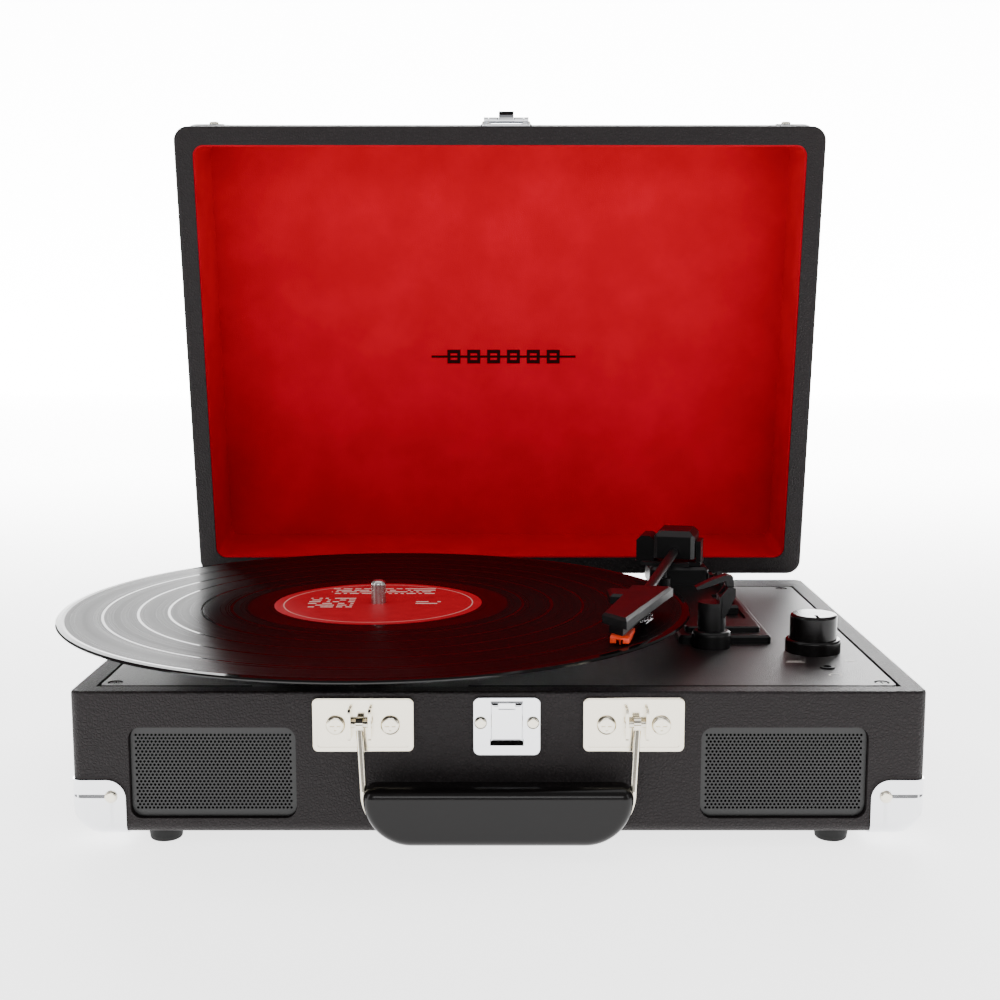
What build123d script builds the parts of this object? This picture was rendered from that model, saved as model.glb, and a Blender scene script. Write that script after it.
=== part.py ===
"""Suitcase record player: a covered wooden case with a lined lid, a belt-driven platter and a pivoting tonearm.

Millimetres, +Z up, +X to the user's right, -Y towards the user. The origin is the middle of the case's
underside; the feet stand below it. The lid stands open, the tonearm just above the outer grooves of a record.
"""
from build123d import *
from math import acos, asin, cos, degrees, hypot, radians, sin
import os

os.makedirs("parts", exist_ok=True)

# ================================================================ driving dimensions
case_w = 358.0          # outside width of base and lid
case_d = 258.0          # outside depth of base and lid
base_h = 61.5           # base without its feet
lid_h = 50.0            # lid, rim to outer face
lid_gap = 0.6           # seam between base and lid when shut
lid_open = 81.5         # lid angle from shut, as it stands
wall = 9.0              # base walls
floor_t = 4.0
lid_wall = 10.0
lid_board = 3.5
belly_r = 12.0          # where the sides turn under the base
edge_r = 4.5            # front and back outline of the base
lid_corner_r = 8.0
lid_edge_r = 5.0
rim_r = 1.2
lining_t = 0.8
foot_h = 6.0
foot_r = 7.5

record_r = 150.0
record_t = 2.0
spindle_r = 3.55
spindle_up = 11.2       # spindle above the record
platter_r = 99.0
platter_top = 13.7      # platter's upper face above the deck
mat_t = 1.6
drive_ring_r = 64.5
pulley_r = 5.0
pulley_reach = 84.0     # pulley axis from the spindle

play_r = 142.0          # groove that the stylus stands over
overhang = 15.8         # stylus beyond the spindle
tube_r = 2.5
tube_z = 24.8           # tube's axis above the deck at the pivot
tube_fall = 0.004       # its fall towards the headshell

# ================================================================ clearances
air = 0.3               # between pieces that move past each other
run = 0.05              # radial, shaft in its bore
snug = 0.02             # radial, fixed pin in its hole

# ================================================================ places derived from them
top = base_h
front = -case_d / 2
back = case_d / 2
side_in = case_w / 2 - wall
front_in = front + wall
back_in = back - wall

hinge_out = 2.5         # hinge pin behind the back face
HINGE_Y = back + hinge_out
HINGE_Z = top + lid_gap / 2

deck_t = 4.0
deck_gap = 1.5          # shadow line round the deck
rail_d = 13.5           # rear rail that the deck stops at
deck_x = side_in - deck_gap
deck_front = front_in + deck_gap
deck_back = back_in - rail_d - deck_gap
deck_under = top - deck_t
recess_t = 1.6

record_back = 8.8       # record's back edge to the hinge axis
spindle_in = 120.5      # spindle from the case's left side
SPINDLE = (-case_w / 2 + spindle_in, HINGE_Y - record_back - record_r)
PULLEY = (SPINDLE[0] - pulley_reach * sin(radians(45)), SPINDLE[1] + pulley_reach * cos(radians(45)))
platter_z = top + platter_top
record_z = platter_z + mat_t
record_top = record_z + record_t

pivot_in = 79.0         # tonearm pivot from the case's right side
pivot_back = 39.0       # and from its back
PIVOT = (case_w / 2 - pivot_in, back - pivot_back)
pivot_span = hypot(PIVOT[0] - SPINDLE[0], PIVOT[1] - SPINDLE[1])
arm_len = pivot_span + overhang
to_spindle = degrees(asin((PIVOT[0] - SPINDLE[0]) / pivot_span))
spread = (pivot_span**2 + arm_len**2 - play_r**2) / (2 * pivot_span * arm_len)
play_angle = to_spindle - degrees(acos(spread))

# LID has the shut lid's plan coordinates with z from its rim outwards; ARM has y back along the tonearm.
lid_cos = cos(radians(lid_open))
lid_sin = sin(radians(lid_open))
LID = Plane(
    origin=(
        0,
        HINGE_Y - HINGE_Y * lid_cos + lid_gap / 2 * lid_sin,
        HINGE_Z + HINGE_Y * lid_sin + lid_gap / 2 * lid_cos,
    ),
    x_dir=(1, 0, 0),
    z_dir=(0, lid_sin, lid_cos),
)
ARM = Plane(
    origin=(*PIVOT, 0),
    x_dir=(cos(radians(play_angle)), -sin(radians(play_angle)), 0),
    z_dir=(0, 0, 1),
)


def on_plane(plane, piece):
    """A piece built in a plane's own coordinates, moved to where that plane lies."""
    with BuildPart() as placed:
        with Locations(plane):
            add(piece)
    return placed


def front_face(x, z, out=0.0):
    """Plane on the front face of the case or the shut lid, its z towards the user."""
    return Plane(origin=(x, front - out, z), x_dir=(1, 0, 0), z_dir=(0, -1, 0))


def back_face(x, z, out=0.0):
    """Plane on the back face, its z away from the case."""
    return Plane(origin=(x, back + out, z), x_dir=(-1, 0, 0), z_dir=(0, 1, 0))


def side_face(side, y, z, out=0.0):
    """Plane on the left (-1) or right (1) face."""
    return Plane(origin=(side * (case_w / 2 + out), y, z), x_dir=(0, side, 0), z_dir=(side, 0, 0))


def screw(head_r, head_h, shank_r, length, cross=0.0):
    """Domed screw or rivet with the underside of its head at z = 0, and a cross recess if one is given."""
    with BuildPart() as piece:
        Cylinder(head_r, head_h, align=(Align.CENTER, Align.CENTER, Align.MIN))
        fillet(piece.edges().group_by(Axis.Z)[-1], head_h * 0.8)
        Cylinder(shank_r, length, align=(Align.CENTER, Align.CENTER, Align.MAX))
        if cross:
            with Locations((0, 0, head_h)):
                Box(cross, cross * 0.22, head_h, mode=Mode.SUBTRACT)
                Box(cross * 0.22, cross, head_h, mode=Mode.SUBTRACT)
    return piece.part


def slab(plane, width, height, thick, corner, along=1):
    """Plate with rounded corners, standing on a plane and `thick` out along its z."""
    with BuildPart() as piece:
        with BuildSketch(plane):
            RectangleRounded(width, height, corner)
        extrude(amount=thick * along)
    return piece.part


# ================================================================ fixings shared by several pieces
rivet_r = 2.65
rivet_h = 1.3
rivet_shank = 1.0
rivet_len = 4.0
guard_t = 0.7
guard_reach = 22.5
guard_rivet_in = 16.4
rivet = screw(rivet_r, rivet_h, rivet_shank, rivet_len)


def guard_rivets(z):
    """Planes of the corner guards' rivets, two to a corner, at a height up the walls."""
    near_x = case_w / 2 - guard_rivet_in
    near_y = case_d / 2 - guard_rivet_in
    fronts = [front_face(sx * near_x, z, guard_t) for sx in (-1, 1)]
    backs = [back_face(sx * near_x, z, guard_t) for sx in (-1, 1)]
    sides = [side_face(sx, sy * near_y, z, guard_t) for sx in (-1, 1) for sy in (-1, 1)]
    return fronts + backs + sides


BASE_RIVETS = guard_rivets(guard_rivet_in)
LID_RIVETS = guard_rivets(lid_h - guard_rivet_in)

small_head_r = 3.0
small_head_h = 1.4
small_shank_r = 1.2
small_screw = screw(small_head_r, small_head_h, small_shank_r, 6.0, 3.4)

hinge_x = 110.0
hinge_w = 38.0
leaf_t = 1.0
leaf_h = 15.0
hinge_screw_x = 11.0
hinge_screw_z = 9.5
HINGE_SCREWS = [(sx * hinge_x + dx) for sx in (-1, 1) for dx in (-hinge_screw_x, hinge_screw_x)]
BASE_HINGE_SCREWS = [back_face(x, HINGE_Z - hinge_screw_z, leaf_t) for x in HINGE_SCREWS]
LID_HINGE_SCREWS = [back_face(x, hinge_screw_z - lid_gap / 2, leaf_t) for x in HINGE_SCREWS]

# ================================================================ base case
grille_w = 70.0
grille_h = 39.4
grille_r = 5.0
grille_lip = 2.0
grille_pocket = 3.5
grille_t = 1.0
grille_x = case_w / 2 - 59.2
grille_z = 26.4

latch_x = 3.5
catch_w = 28.0
catch_h = 25.0
catch_z = top - 14.7
catch_t = 1.0
catch_rivet_x = 10.9
catch_rivet_up = 1.7
window_w = 14.0
window_low = -8.2
window_high = 10.8
catch_travel = 2.1
pocket_w = 18.0
pocket_h = 23.0
pocket_t = 4.0
CATCH_RIVETS = [front_face(latch_x + sx * catch_rivet_x, catch_z + catch_rivet_up, catch_t) for sx in (-1, 1)]

hplate_x = 56.4
hplate_z = top - 13.9
hplate_w = 42.3
hplate_h = 23.3
hplate_t = 1.2
bead_h = 0.4            # rim pressed up round each handle plate
hscrew_x = 11.4
HANDLE_SCREWS = [
    front_face(sx * hplate_x + dx, hplate_z, hplate_t) for sx in (-1, 1) for dx in (-hscrew_x, hscrew_x)
]

panel_x = 62.0
panel_z = 27.0
panel_w = 100.0
panel_h = 36.0
panel_t = 2.0
panel_lip = 7.0
panel_hole_in = 3.5
PANEL_SCREWS = [
    back_face(panel_x + sx * (panel_w / 2 - panel_hole_in), panel_z + sz * (panel_h / 2 - panel_hole_in), panel_t)
    for sx in (-1, 1)
    for sz in (-1, 1)
]

foot_x = case_w / 2 - 36.0
FEET = [
    Plane(origin=(sx * foot_x, y, 0), z_dir=(0, 0, -1)) for sx in (-1, 1) for y in (front + 12.5, back - 17.0)
]
foot_screw_r = 1.5
foot_screw_h = 1.8
foot_screw_deep = 2.2   # head below the foot's sole

plate_field_w = 70.0    # grooved field for a rating plate, under the middle of the case
plate_field_d = 45.0
ledge_w = 12.0
ledge_h = 8.0
DECK_SCREWS = [
    Plane(origin=(sx * x, y, top - small_head_h - 0.2))
    for sx in (-1, 1)
    for x, y in ((deck_x - 5.0, deck_front + 5.0), (deck_x - 6.5, deck_back - 5.0))
]

board_x = 88.0
board_y = 40.0
board_w = 70.0
board_d = 50.0
board_z = 10.0
board_t = 1.6
POSTS = [
    (board_x + sx * (board_w / 2 - 4), board_y + sy * (board_d / 2 - 4)) for sx in (-1, 1) for sy in (-1, 1)
]


def case_solid(grow=0.0):
    """The base's outer shape, rounded under the sides and softly rolled round its front and back outline."""
    with BuildPart() as shape:
        with Locations((0, 0, -grow)):
            Box(
                case_w + 2 * grow,
                case_d + 2 * grow,
                base_h + grow,
                align=(Align.CENTER, Align.CENTER, Align.MIN),
            )
        fillet(shape.edges().filter_by(Axis.Y).group_by(Axis.Z)[0], belly_r + grow)
        ends = shape.faces().filter_by(Axis.Y).edges().filter_by(lambda e: e.center().Z < top - 0.1)
        fillet(ends, edge_r + grow)
    return shape.part


with BuildPart() as base_case:
    add(case_solid())
    fillet(base_case.faces().sort_by(Axis.Z)[-1].edges(), rim_r)
    with Locations((0, 0, floor_t)):
        Box(
            2 * side_in,
            case_d - 2 * wall,
            top,
            align=(Align.CENTER, Align.CENTER, Align.MIN),
            mode=Mode.SUBTRACT,
        )
    with BuildSketch(Plane.XY.offset(deck_under - ledge_h)):
        Rectangle(2 * side_in, case_d - 2 * wall)
        with Locations((0, -rail_d / 2)):
            Rectangle(2 * (side_in - ledge_w), case_d - 2 * wall - 2 * ledge_w - rail_d, mode=Mode.SUBTRACT)
    extrude(amount=ledge_h)
    with Locations((0, back_in - rail_d / 2, deck_under - ledge_h)):
        Box(2 * side_in, rail_d, ledge_h + deck_t, align=(Align.CENTER, Align.CENTER, Align.MIN))
    fillet(base_case.edges().group_by(Axis.Z)[-1].filter_by(Axis.X).sort_by(Axis.Y)[1:3], 0.6)
    for sx in (-1, 1):
        pocket = slab(front_face(sx * grille_x, grille_z), grille_w, grille_h, grille_pocket, grille_r, -1)
        add(pocket, mode=Mode.SUBTRACT)
        inner = slab(
            front_face(sx * grille_x, grille_z),
            grille_w - 2 * grille_lip,
            grille_h - 2 * grille_lip,
            wall,
            grille_r - grille_lip,
            -1,
        )
        add(inner, mode=Mode.SUBTRACT)
    add(slab(front_face(latch_x, catch_z), pocket_w, pocket_h, pocket_t, 1.0, -1), mode=Mode.SUBTRACT)
    rear_hole = slab(back_face(panel_x, panel_z), panel_w - 2 * panel_lip, panel_h - 2 * panel_lip, wall, 3.0, -1)
    add(rear_hole, mode=Mode.SUBTRACT)
    with BuildSketch(Plane.XY.offset(floor_t)):
        with Locations(*POSTS):
            Circle(3.0)
    extrude(amount=board_z - floor_t)
    with Locations(*BASE_RIVETS, *CATCH_RIVETS):
        Hole(rivet_shank + snug, rivet_len)
    with Locations(*HANDLE_SCREWS, *BASE_HINGE_SCREWS, *PANEL_SCREWS, *DECK_SCREWS):
        Hole(small_shank_r + snug, 6.0)
    with Locations(*FEET):
        Hole(foot_screw_r + snug, floor_t - 0.5)
    with BuildSketch():
        RectangleRounded(plate_field_w + 2, plate_field_d + 2, 3.0)
        RectangleRounded(plate_field_w, plate_field_d, 2.0, mode=Mode.SUBTRACT)
    extrude(amount=0.5, mode=Mode.SUBTRACT)
base_case.part.label = "base_case"
export_step(base_case.part, "parts/base_case.step")

with BuildPart() as guard_zone:
    with BuildSketch(Plane.XZ.offset(-front)):
        with Locations((-case_w / 2 - 2, -2)):
            RectangleRounded(2 * guard_reach + 4, 2 * guard_reach + 6, 8.0)
    extrude(amount=-guard_reach - 2, both=True)
    with BuildSketch(Plane.YZ.offset(-case_w / 2)):
        with Locations((front - 2, -2)):
            RectangleRounded(2 * guard_reach + 4, 2 * guard_reach + 6, 8.0)
    extrude(amount=guard_reach, both=True, mode=Mode.INTERSECT)

with BuildPart() as base_corner_guards:
    add(case_solid(guard_t))
    add(case_solid(), mode=Mode.SUBTRACT)
    add(guard_zone.part, mode=Mode.INTERSECT)
    mirror(about=Plane.YZ)
    mirror(about=Plane.XZ)
    with Locations(*BASE_RIVETS):
        Hole(rivet_shank + snug, 2 * guard_t)
base_corner_guards.part.label = "base_corner_guards"
export_step(base_corner_guards.part, "parts/base_corner_guards.step")

with BuildPart() as case_rivets:
    with Locations(*BASE_RIVETS, *CATCH_RIVETS):
        add(rivet)
case_rivets.part.label = "case_rivets"
export_step(case_rivets.part, "parts/case_rivets.step")

with BuildPart() as rubber_feet:
    with Locations(*FEET):
        Cone(foot_r, foot_r - 0.8, foot_h, align=(Align.CENTER, Align.CENTER, Align.MIN))
    fillet(rubber_feet.edges().group_by(Axis.Z)[0], 1.2)
    with Locations(*[foot.offset(foot_h) for foot in FEET]):
        CounterBoreHole(foot_screw_r + snug, 3.4, foot_screw_deep + foot_screw_h, foot_h)
rubber_feet.part.label = "rubber_feet"
export_step(rubber_feet.part, "parts/rubber_feet.step")

foot_screw = screw(3.2, foot_screw_h, foot_screw_r, foot_h - foot_screw_deep - foot_screw_h + 3.0, 3.6)
with BuildPart() as foot_screws:
    with Locations(*[foot.offset(foot_h - foot_screw_deep - foot_screw_h) for foot in FEET]):
        add(foot_screw)
foot_screws.part.label = "foot_screws"
export_step(foot_screws.part, "parts/foot_screws.step")

# ================================================================ speakers
with BuildPart() as speaker_grilles:
    for sx in (-1, 1):
        seat = front_face(sx * grille_x, grille_z, -grille_pocket)
        add(slab(seat, grille_w - 2 * air, grille_h - 2 * air, grille_t, grille_r - air))
speaker_grilles.part.label = "speaker_grilles"
export_step(speaker_grilles.part, "parts/speaker_grilles.step")

cone_r = 16.0
speaker_seats = [Plane(origin=(sx * grille_x, front_in, grille_z), z_dir=(0, 1, 0)) for sx in (-1, 1)]
with BuildPart() as speaker:
    with BuildSketch():
        RectangleRounded(42.0, 72.0, 3.0)
        Circle(cone_r + 0.6, mode=Mode.SUBTRACT)
    extrude(amount=2.0)
    with BuildSketch(Plane.XZ):
        with BuildLine():
            Polyline((19, 2), (13, 15), (15, 15), (15, 22), (0, 22), (0, 14), (11, 14), (17, 2), close=True)
        make_face()
    revolve(axis=Axis.Z)
with BuildPart() as speaker_frames:
    with Locations(*speaker_seats):
        add(speaker.part)
speaker_frames.part.label = "speaker_frames"
export_step(speaker_frames.part, "parts/speaker_frames.step")

with BuildPart() as speaker_cone:
    with BuildSketch(Plane.XZ):
        with BuildLine():
            Polyline(
                (cone_r, 1.2),
                (5, 9.2),
                (0, 7.5),
                (0, 6.9),
                (5, 8.5),
                (cone_r - 0.5, 0.4),
                (cone_r, 0.4),
                close=True,
            )
        make_face()
    revolve(axis=Axis.Z)
with BuildPart() as speaker_cones:
    with Locations(*speaker_seats):
        add(speaker_cone.part)
speaker_cones.part.label = "speaker_cones"
export_step(speaker_cones.part, "parts/speaker_cones.step")

# ================================================================ carrying handle
ear_x = 3.6             # ear's inner face from the middle of the bail's eye
ear_t = 1.2
ear_out = 6.4
ear_h = 13.0
bail_x = 57.4
bail_r = 1.45
eye_r = 3.1
eye_w = 2.9
pin_out = 4.7
pin_r = 1.3
pin_z = hplate_z + 1.2
grip_y = front - 11.2
grip_t = 15.0
grip_w = 111.0
grip_low = 0.4
grip_high = 25.2
grip_corner = 20.0
wire_x = 55.6
wire_low = grip_low + 1.0
wire_bend = 19.0

with BuildPart() as handle_plates:
    for sx in (-1, 1):
        add(slab(front_face(sx * hplate_x, hplate_z), hplate_w, hplate_h, hplate_t, 2.4))
    fillet(handle_plates.faces().group_by(Axis.Y)[0].edges(), 0.5)
    for sx in (-1, 1):
        face = front_face(sx * hplate_x, hplate_z)
        outer = slab(face, hplate_w - 1.6, hplate_h - 1.6, hplate_t + bead_h, 1.8)
        add(outer - slab(face, hplate_w - 4.2, hplate_h - 4.2, hplate_t + bead_h, 1.1))
    for x in (-bail_x, bail_x):
        for dx in (-ear_x - ear_t / 2, ear_x + ear_t / 2):
            with BuildSketch(Plane.YZ.offset(x + dx)):
                with Locations((front - hplate_t - (ear_out - hplate_t) / 2, pin_z)):
                    RectangleRounded(ear_out - hplate_t + 1.2, ear_h, 1.5)
            extrude(amount=ear_t / 2, both=True)
    for sx in (-1, 1):
        with Locations((sx * hplate_x, front + 5, hplate_z)):
            Box(hplate_w, 10, hplate_h, mode=Mode.SUBTRACT)
    with Locations(*HANDLE_SCREWS):
        Hole(small_shank_r + snug, 2 * hplate_t)
    with Locations((0, front - pin_out, pin_z)):
        Cylinder(pin_r + snug, case_w, rotation=(0, 90, 0), mode=Mode.SUBTRACT)
handle_plates.part.label = "handle_plates"
export_step(handle_plates.part, "parts/handle_plates.step")

with BuildPart() as handle_pins:
    with Locations((-bail_x, front - pin_out, pin_z), (bail_x, front - pin_out, pin_z)):
        Cylinder(pin_r, 2 * (ear_x + ear_t) + 0.4, rotation=(0, 90, 0))
handle_pins.part.label = "handle_pins"
export_step(handle_pins.part, "parts/handle_pins.step")

plate_screw = screw(4.1, 1.6, small_shank_r, 6.0, 4.6)
with BuildPart() as handle_plate_screws:
    with Locations(*HANDLE_SCREWS):
        add(plate_screw)
handle_plate_screws.part.label = "handle_plate_screws"
export_step(handle_plate_screws.part, "parts/handle_plate_screws.step")

with BuildPart() as handle_bail:
    for sx in (-1, 1):
        with BuildLine() as leg:
            Line((sx * bail_x, front - pin_out - 1.2, pin_z - 2.1), (sx * wire_x, grip_y, grip_high - 3))
        with BuildSketch(Plane(origin=leg.line @ 0, z_dir=leg.line % 0)):
            Circle(bail_r)
        sweep(path=leg.line)
        with Locations((sx * wire_x, grip_y, grip_high - 3)):
            Sphere(bail_r)
    with BuildLine(Plane.XZ.offset(-grip_y)) as loop:
        FilletPolyline(
            (-wire_x, grip_high - 3),
            (-wire_x, wire_low + bail_r),
            (wire_x, wire_low + bail_r),
            (wire_x, grip_high - 3),
            radius=wire_bend,
        )
    with BuildSketch(Plane(origin=loop.line @ 0, z_dir=loop.line % 0)):
        Circle(bail_r)
    sweep(path=loop.line)
    with Locations((-bail_x, front - pin_out, pin_z), (bail_x, front - pin_out, pin_z)):
        Cylinder(eye_r, eye_w, rotation=(0, 90, 0))
        Cylinder(pin_r + run, 2 * eye_w, rotation=(0, 90, 0), mode=Mode.SUBTRACT)
handle_bail.part.label = "handle_bail"
export_step(handle_bail.part, "parts/handle_bail.step")

with BuildPart() as handle_grip:
    with BuildSketch(Plane.XZ.offset(-grip_y + grip_t / 2)):
        with Locations((0, (grip_low + grip_high) / 2)):
            Rectangle(grip_w, grip_high - grip_low)
    extrude(amount=-grip_t)
    fillet(handle_grip.edges().filter_by(Axis.Y).group_by(Axis.Z)[0], grip_corner)
    fillet(handle_grip.edges().filter_by(Axis.Y).group_by(Axis.Z)[-1], 5.0)
    fillet(handle_grip.faces().filter_by(Axis.Y).edges(), 4.6)
    add(handle_bail.part, mode=Mode.SUBTRACT)
handle_grip.part.label = "handle_grip"
export_step(handle_grip.part, "parts/handle_grip.step")

# ================================================================ catch on the base
button_w = window_w - 2 * air
button_low = window_low + catch_travel + air
button_high = window_high - air
button_out = 2.4

with BuildPart() as latch_catch_plate:
    add(slab(front_face(latch_x, catch_z), catch_w, catch_h, catch_t, 2.6))
    fillet(latch_catch_plate.faces().sort_by(Axis.Y)[0].edges(), 0.4)
    with BuildSketch(front_face(latch_x, catch_z + (window_low + window_high) / 2)):
        Rectangle(window_w, window_high - window_low)
    extrude(amount=2 * catch_t, both=True, mode=Mode.SUBTRACT)
    with Locations(*CATCH_RIVETS):
        Hole(rivet_shank + snug, 2 * catch_t)
latch_catch_plate.part.label = "latch_catch_plate"
export_step(latch_catch_plate.part, "parts/latch_catch_plate.step")

with BuildPart() as catch_button:
    with BuildSketch(front_face(latch_x, catch_z + (button_low + button_high) / 2, -air)):
        Rectangle(button_w, button_high - button_low)
    extrude(amount=air + catch_t + button_out)
    fillet(catch_button.faces().sort_by(Axis.Y)[0].edges(), 1.4)
    with BuildSketch(front_face(latch_x, catch_z + (button_low + button_high) / 2, -air)):
        Rectangle(pocket_w - 1.0, button_high - button_low)
    extrude(amount=-1.5)
    with Locations((latch_x, front - catch_t - button_out, catch_z + button_high - 1.0)):
        Box(7.0, 1.6, 3.2, mode=Mode.SUBTRACT)
catch_button.part.label = "catch_button"
export_step(catch_button.part, "parts/catch_button.step")

# ================================================================ hinges
hinge_pin_r = 1.1
barrel_r = 2.1
knuckle_w = (hinge_w - 4 * air) / 5
knuckle_pitch = knuckle_w + air


def hinge_leaf(knuckles, side, centre_z):
    """Leaf on the back face below (-1) or above (1) the pin, with barrels at the knuckles it owns."""
    with BuildPart() as leaf:
        edge = centre_z + side * (barrel_r + 0.5)
        middle = (edge + centre_z + side * leaf_h) / 2
        add(slab(back_face(0, middle), hinge_w, abs(centre_z + side * leaf_h - edge), leaf_t, 0.3))
        for k in knuckles:
            with Locations((k * knuckle_pitch, HINGE_Y, centre_z)):
                Cylinder(barrel_r, knuckle_w, rotation=(0, 90, 0))
            with Locations((k * knuckle_pitch, back + leaf_t / 2 + 0.2, (edge + centre_z) / 2)):
                Box(knuckle_w, leaf_t - 0.4, abs(edge - centre_z) + 0.4)
    return leaf.part


with BuildPart() as hinge_base_leaves:
    with Locations((-hinge_x, 0, 0), (hinge_x, 0, 0)):
        add(hinge_leaf((-2, 0, 2), -1, HINGE_Z))
    with Locations((0, HINGE_Y, HINGE_Z)):
        Cylinder(hinge_pin_r + snug, case_w, rotation=(0, 90, 0), mode=Mode.SUBTRACT)
    with Locations(*BASE_HINGE_SCREWS):
        Hole(small_shank_r + snug, 2 * leaf_t)
hinge_base_leaves.part.label = "hinge_base_leaves"
export_step(hinge_base_leaves.part, "parts/hinge_base_leaves.step")

with BuildPart() as hinge_pins:
    with Locations((-hinge_x, HINGE_Y, HINGE_Z), (hinge_x, HINGE_Y, HINGE_Z)):
        Cylinder(hinge_pin_r, hinge_w + 0.6, rotation=(0, 90, 0))
hinge_pins.part.label = "hinge_pins"
export_step(hinge_pins.part, "parts/hinge_pins.step")

with BuildPart() as flat_lid_leaves:
    with Locations((-hinge_x, 0, 0), (hinge_x, 0, 0)):
        add(hinge_leaf((-1, 1), 1, -lid_gap / 2))
    with Locations((0, HINGE_Y, -lid_gap / 2)):
        Cylinder(hinge_pin_r + run, case_w, rotation=(0, 90, 0), mode=Mode.SUBTRACT)
    with Locations(*LID_HINGE_SCREWS):
        Hole(small_shank_r + snug, 2 * leaf_t)
hinge_lid_leaves = on_plane(LID, flat_lid_leaves.part)
hinge_lid_leaves.part.label = "hinge_lid_leaves"
export_step(hinge_lid_leaves.part, "parts/hinge_lid_leaves.step")

with BuildPart() as flat_hinge_screws:
    with Locations(*LID_HINGE_SCREWS):
        add(small_screw)
hinge_lid_screws = on_plane(LID, flat_hinge_screws.part)
hinge_lid_screws.part.label = "hinge_lid_screws"
export_step(hinge_lid_screws.part, "parts/hinge_lid_screws.step")

# ================================================================ lid
lplate_w = 28.0
lplate_h = 21.0
lplate_t = 1.2
lplate_z = 12.2         # middle of the latch plate above the lid's rim
lplate_rivet_x = 10.9
lplate_rivet_z = 17.0
LATCH_RIVETS = [front_face(latch_x + sx * lplate_rivet_x, lplate_rivet_z, lplate_t) for sx in (-1, 1)]


def lid_solid(grow=0.0):
    """The lid's outer shape, rim at z = 0, rounded at the upright corners and round the outer face."""
    with BuildPart() as shape:
        Box(
            case_w + 2 * grow,
            case_d + 2 * grow,
            lid_h + grow,
            align=(Align.CENTER, Align.CENTER, Align.MIN),
        )
        fillet(shape.edges().filter_by(Axis.Z), lid_corner_r + grow)
        fillet(shape.edges().group_by(Axis.Z)[-1], lid_edge_r + grow)
    return shape.part


with BuildPart() as flat_lid:
    add(lid_solid())
    fillet(flat_lid.edges().group_by(Axis.Z)[0], rim_r)
    with BuildSketch():
        RectangleRounded(case_w - 2 * lid_wall, case_d - 2 * lid_wall, 6.0)
    extrude(amount=lid_h - lid_board, mode=Mode.SUBTRACT)
    with Locations(*LID_RIVETS, *LATCH_RIVETS):
        Hole(rivet_shank + snug, rivet_len)
    with Locations(*LID_HINGE_SCREWS):
        Hole(small_shank_r + snug, 6.0)
lid_shell = on_plane(LID, flat_lid.part)
lid_shell.part.label = "lid_shell"
export_step(lid_shell.part, "parts/lid_shell.step")

with BuildPart() as flat_lining:
    with BuildSketch(Plane.XY.offset(rim_r)):
        RectangleRounded(case_w - 2 * lid_wall, case_d - 2 * lid_wall, 6.0)
    extrude(amount=lid_h - lid_board - rim_r)
    with BuildSketch(Plane.XY.offset(rim_r)):
        RectangleRounded(case_w - 2 * lid_wall - 2 * lining_t, case_d - 2 * lid_wall - 2 * lining_t, 5.0)
    extrude(amount=lid_h - lid_board - rim_r - lining_t, mode=Mode.SUBTRACT)
lid_lining = on_plane(LID, flat_lining.part)
lid_lining.part.label = "lid_lining"
export_step(lid_lining.part, "parts/lid_lining.step")

with BuildPart() as lid_guard_zone:
    with BuildSketch(Plane.XZ.offset(-front)):
        with Locations((-case_w / 2 - 2, lid_h + 2)):
            RectangleRounded(2 * guard_reach + 4, 2 * guard_reach + 6, 8.0)
    extrude(amount=-guard_reach - 2, both=True)
    with BuildSketch(Plane.YZ.offset(-case_w / 2)):
        with Locations((front - 2, lid_h + 2)):
            RectangleRounded(2 * guard_reach + 4, 2 * guard_reach + 6, 8.0)
    extrude(amount=guard_reach, both=True, mode=Mode.INTERSECT)

with BuildPart() as flat_lid_guards:
    add(lid_solid(guard_t))
    add(lid_solid(), mode=Mode.SUBTRACT)
    add(lid_guard_zone.part, mode=Mode.INTERSECT)
    mirror(about=Plane.YZ)
    mirror(about=Plane.XZ)
    with Locations(*LID_RIVETS):
        Hole(rivet_shank + snug, 2 * guard_t)
lid_corner_guards = on_plane(LID, flat_lid_guards.part)
lid_corner_guards.part.label = "lid_corner_guards"
export_step(lid_corner_guards.part, "parts/lid_corner_guards.step")

with BuildPart() as flat_lid_rivets:
    with Locations(*LID_RIVETS, *LATCH_RIVETS):
        add(rivet)
lid_rivets = on_plane(LID, flat_lid_rivets.part)
lid_rivets.part.label = "lid_rivets"
export_step(lid_rivets.part, "parts/lid_rivets.step")

# ================================================================ hasp on the lid
hasp_out = 3.0          # hasp pin in front of the lid
hasp_z = 8.0            # and above its rim
hasp_w = 19.0
hasp_pin_r = 0.8
hasp_barrel_r = 1.7
hasp_t = 1.2
hasp_low = -9.5
tongue_w = 10.0
hasp_lug = 2.5

with BuildPart() as flat_latch_plate:
    add(slab(front_face(latch_x, lplate_z), lplate_w, lplate_h, lplate_t, 2.4))
    fillet(flat_latch_plate.faces().sort_by(Axis.Y)[0].edges(), 0.4)
    for sx in (-1, 1):
        with Locations((latch_x + sx * (hasp_w / 2 + air + hasp_lug / 2), front - hasp_out, hasp_z)):
            Cylinder(hasp_barrel_r, hasp_lug, rotation=(0, 90, 0))
        with Locations((latch_x + sx * (hasp_w / 2 + air + hasp_lug / 2), front - hasp_out / 2, hasp_z)):
            Box(hasp_lug, hasp_out, 1.6)
    with Locations((0, front + 5, lplate_z)):
        Box(case_w, 10, 2 * lplate_h, mode=Mode.SUBTRACT)
    with Locations((latch_x, front - hasp_out, hasp_z)):
        Cylinder(hasp_pin_r + snug, 2 * hasp_w, rotation=(0, 90, 0), mode=Mode.SUBTRACT)
    with Locations(*LATCH_RIVETS):
        Hole(rivet_shank + snug, 2 * lplate_t)
lid_latch_plate = on_plane(LID, flat_latch_plate.part)
lid_latch_plate.part.label = "lid_latch_plate"
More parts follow.
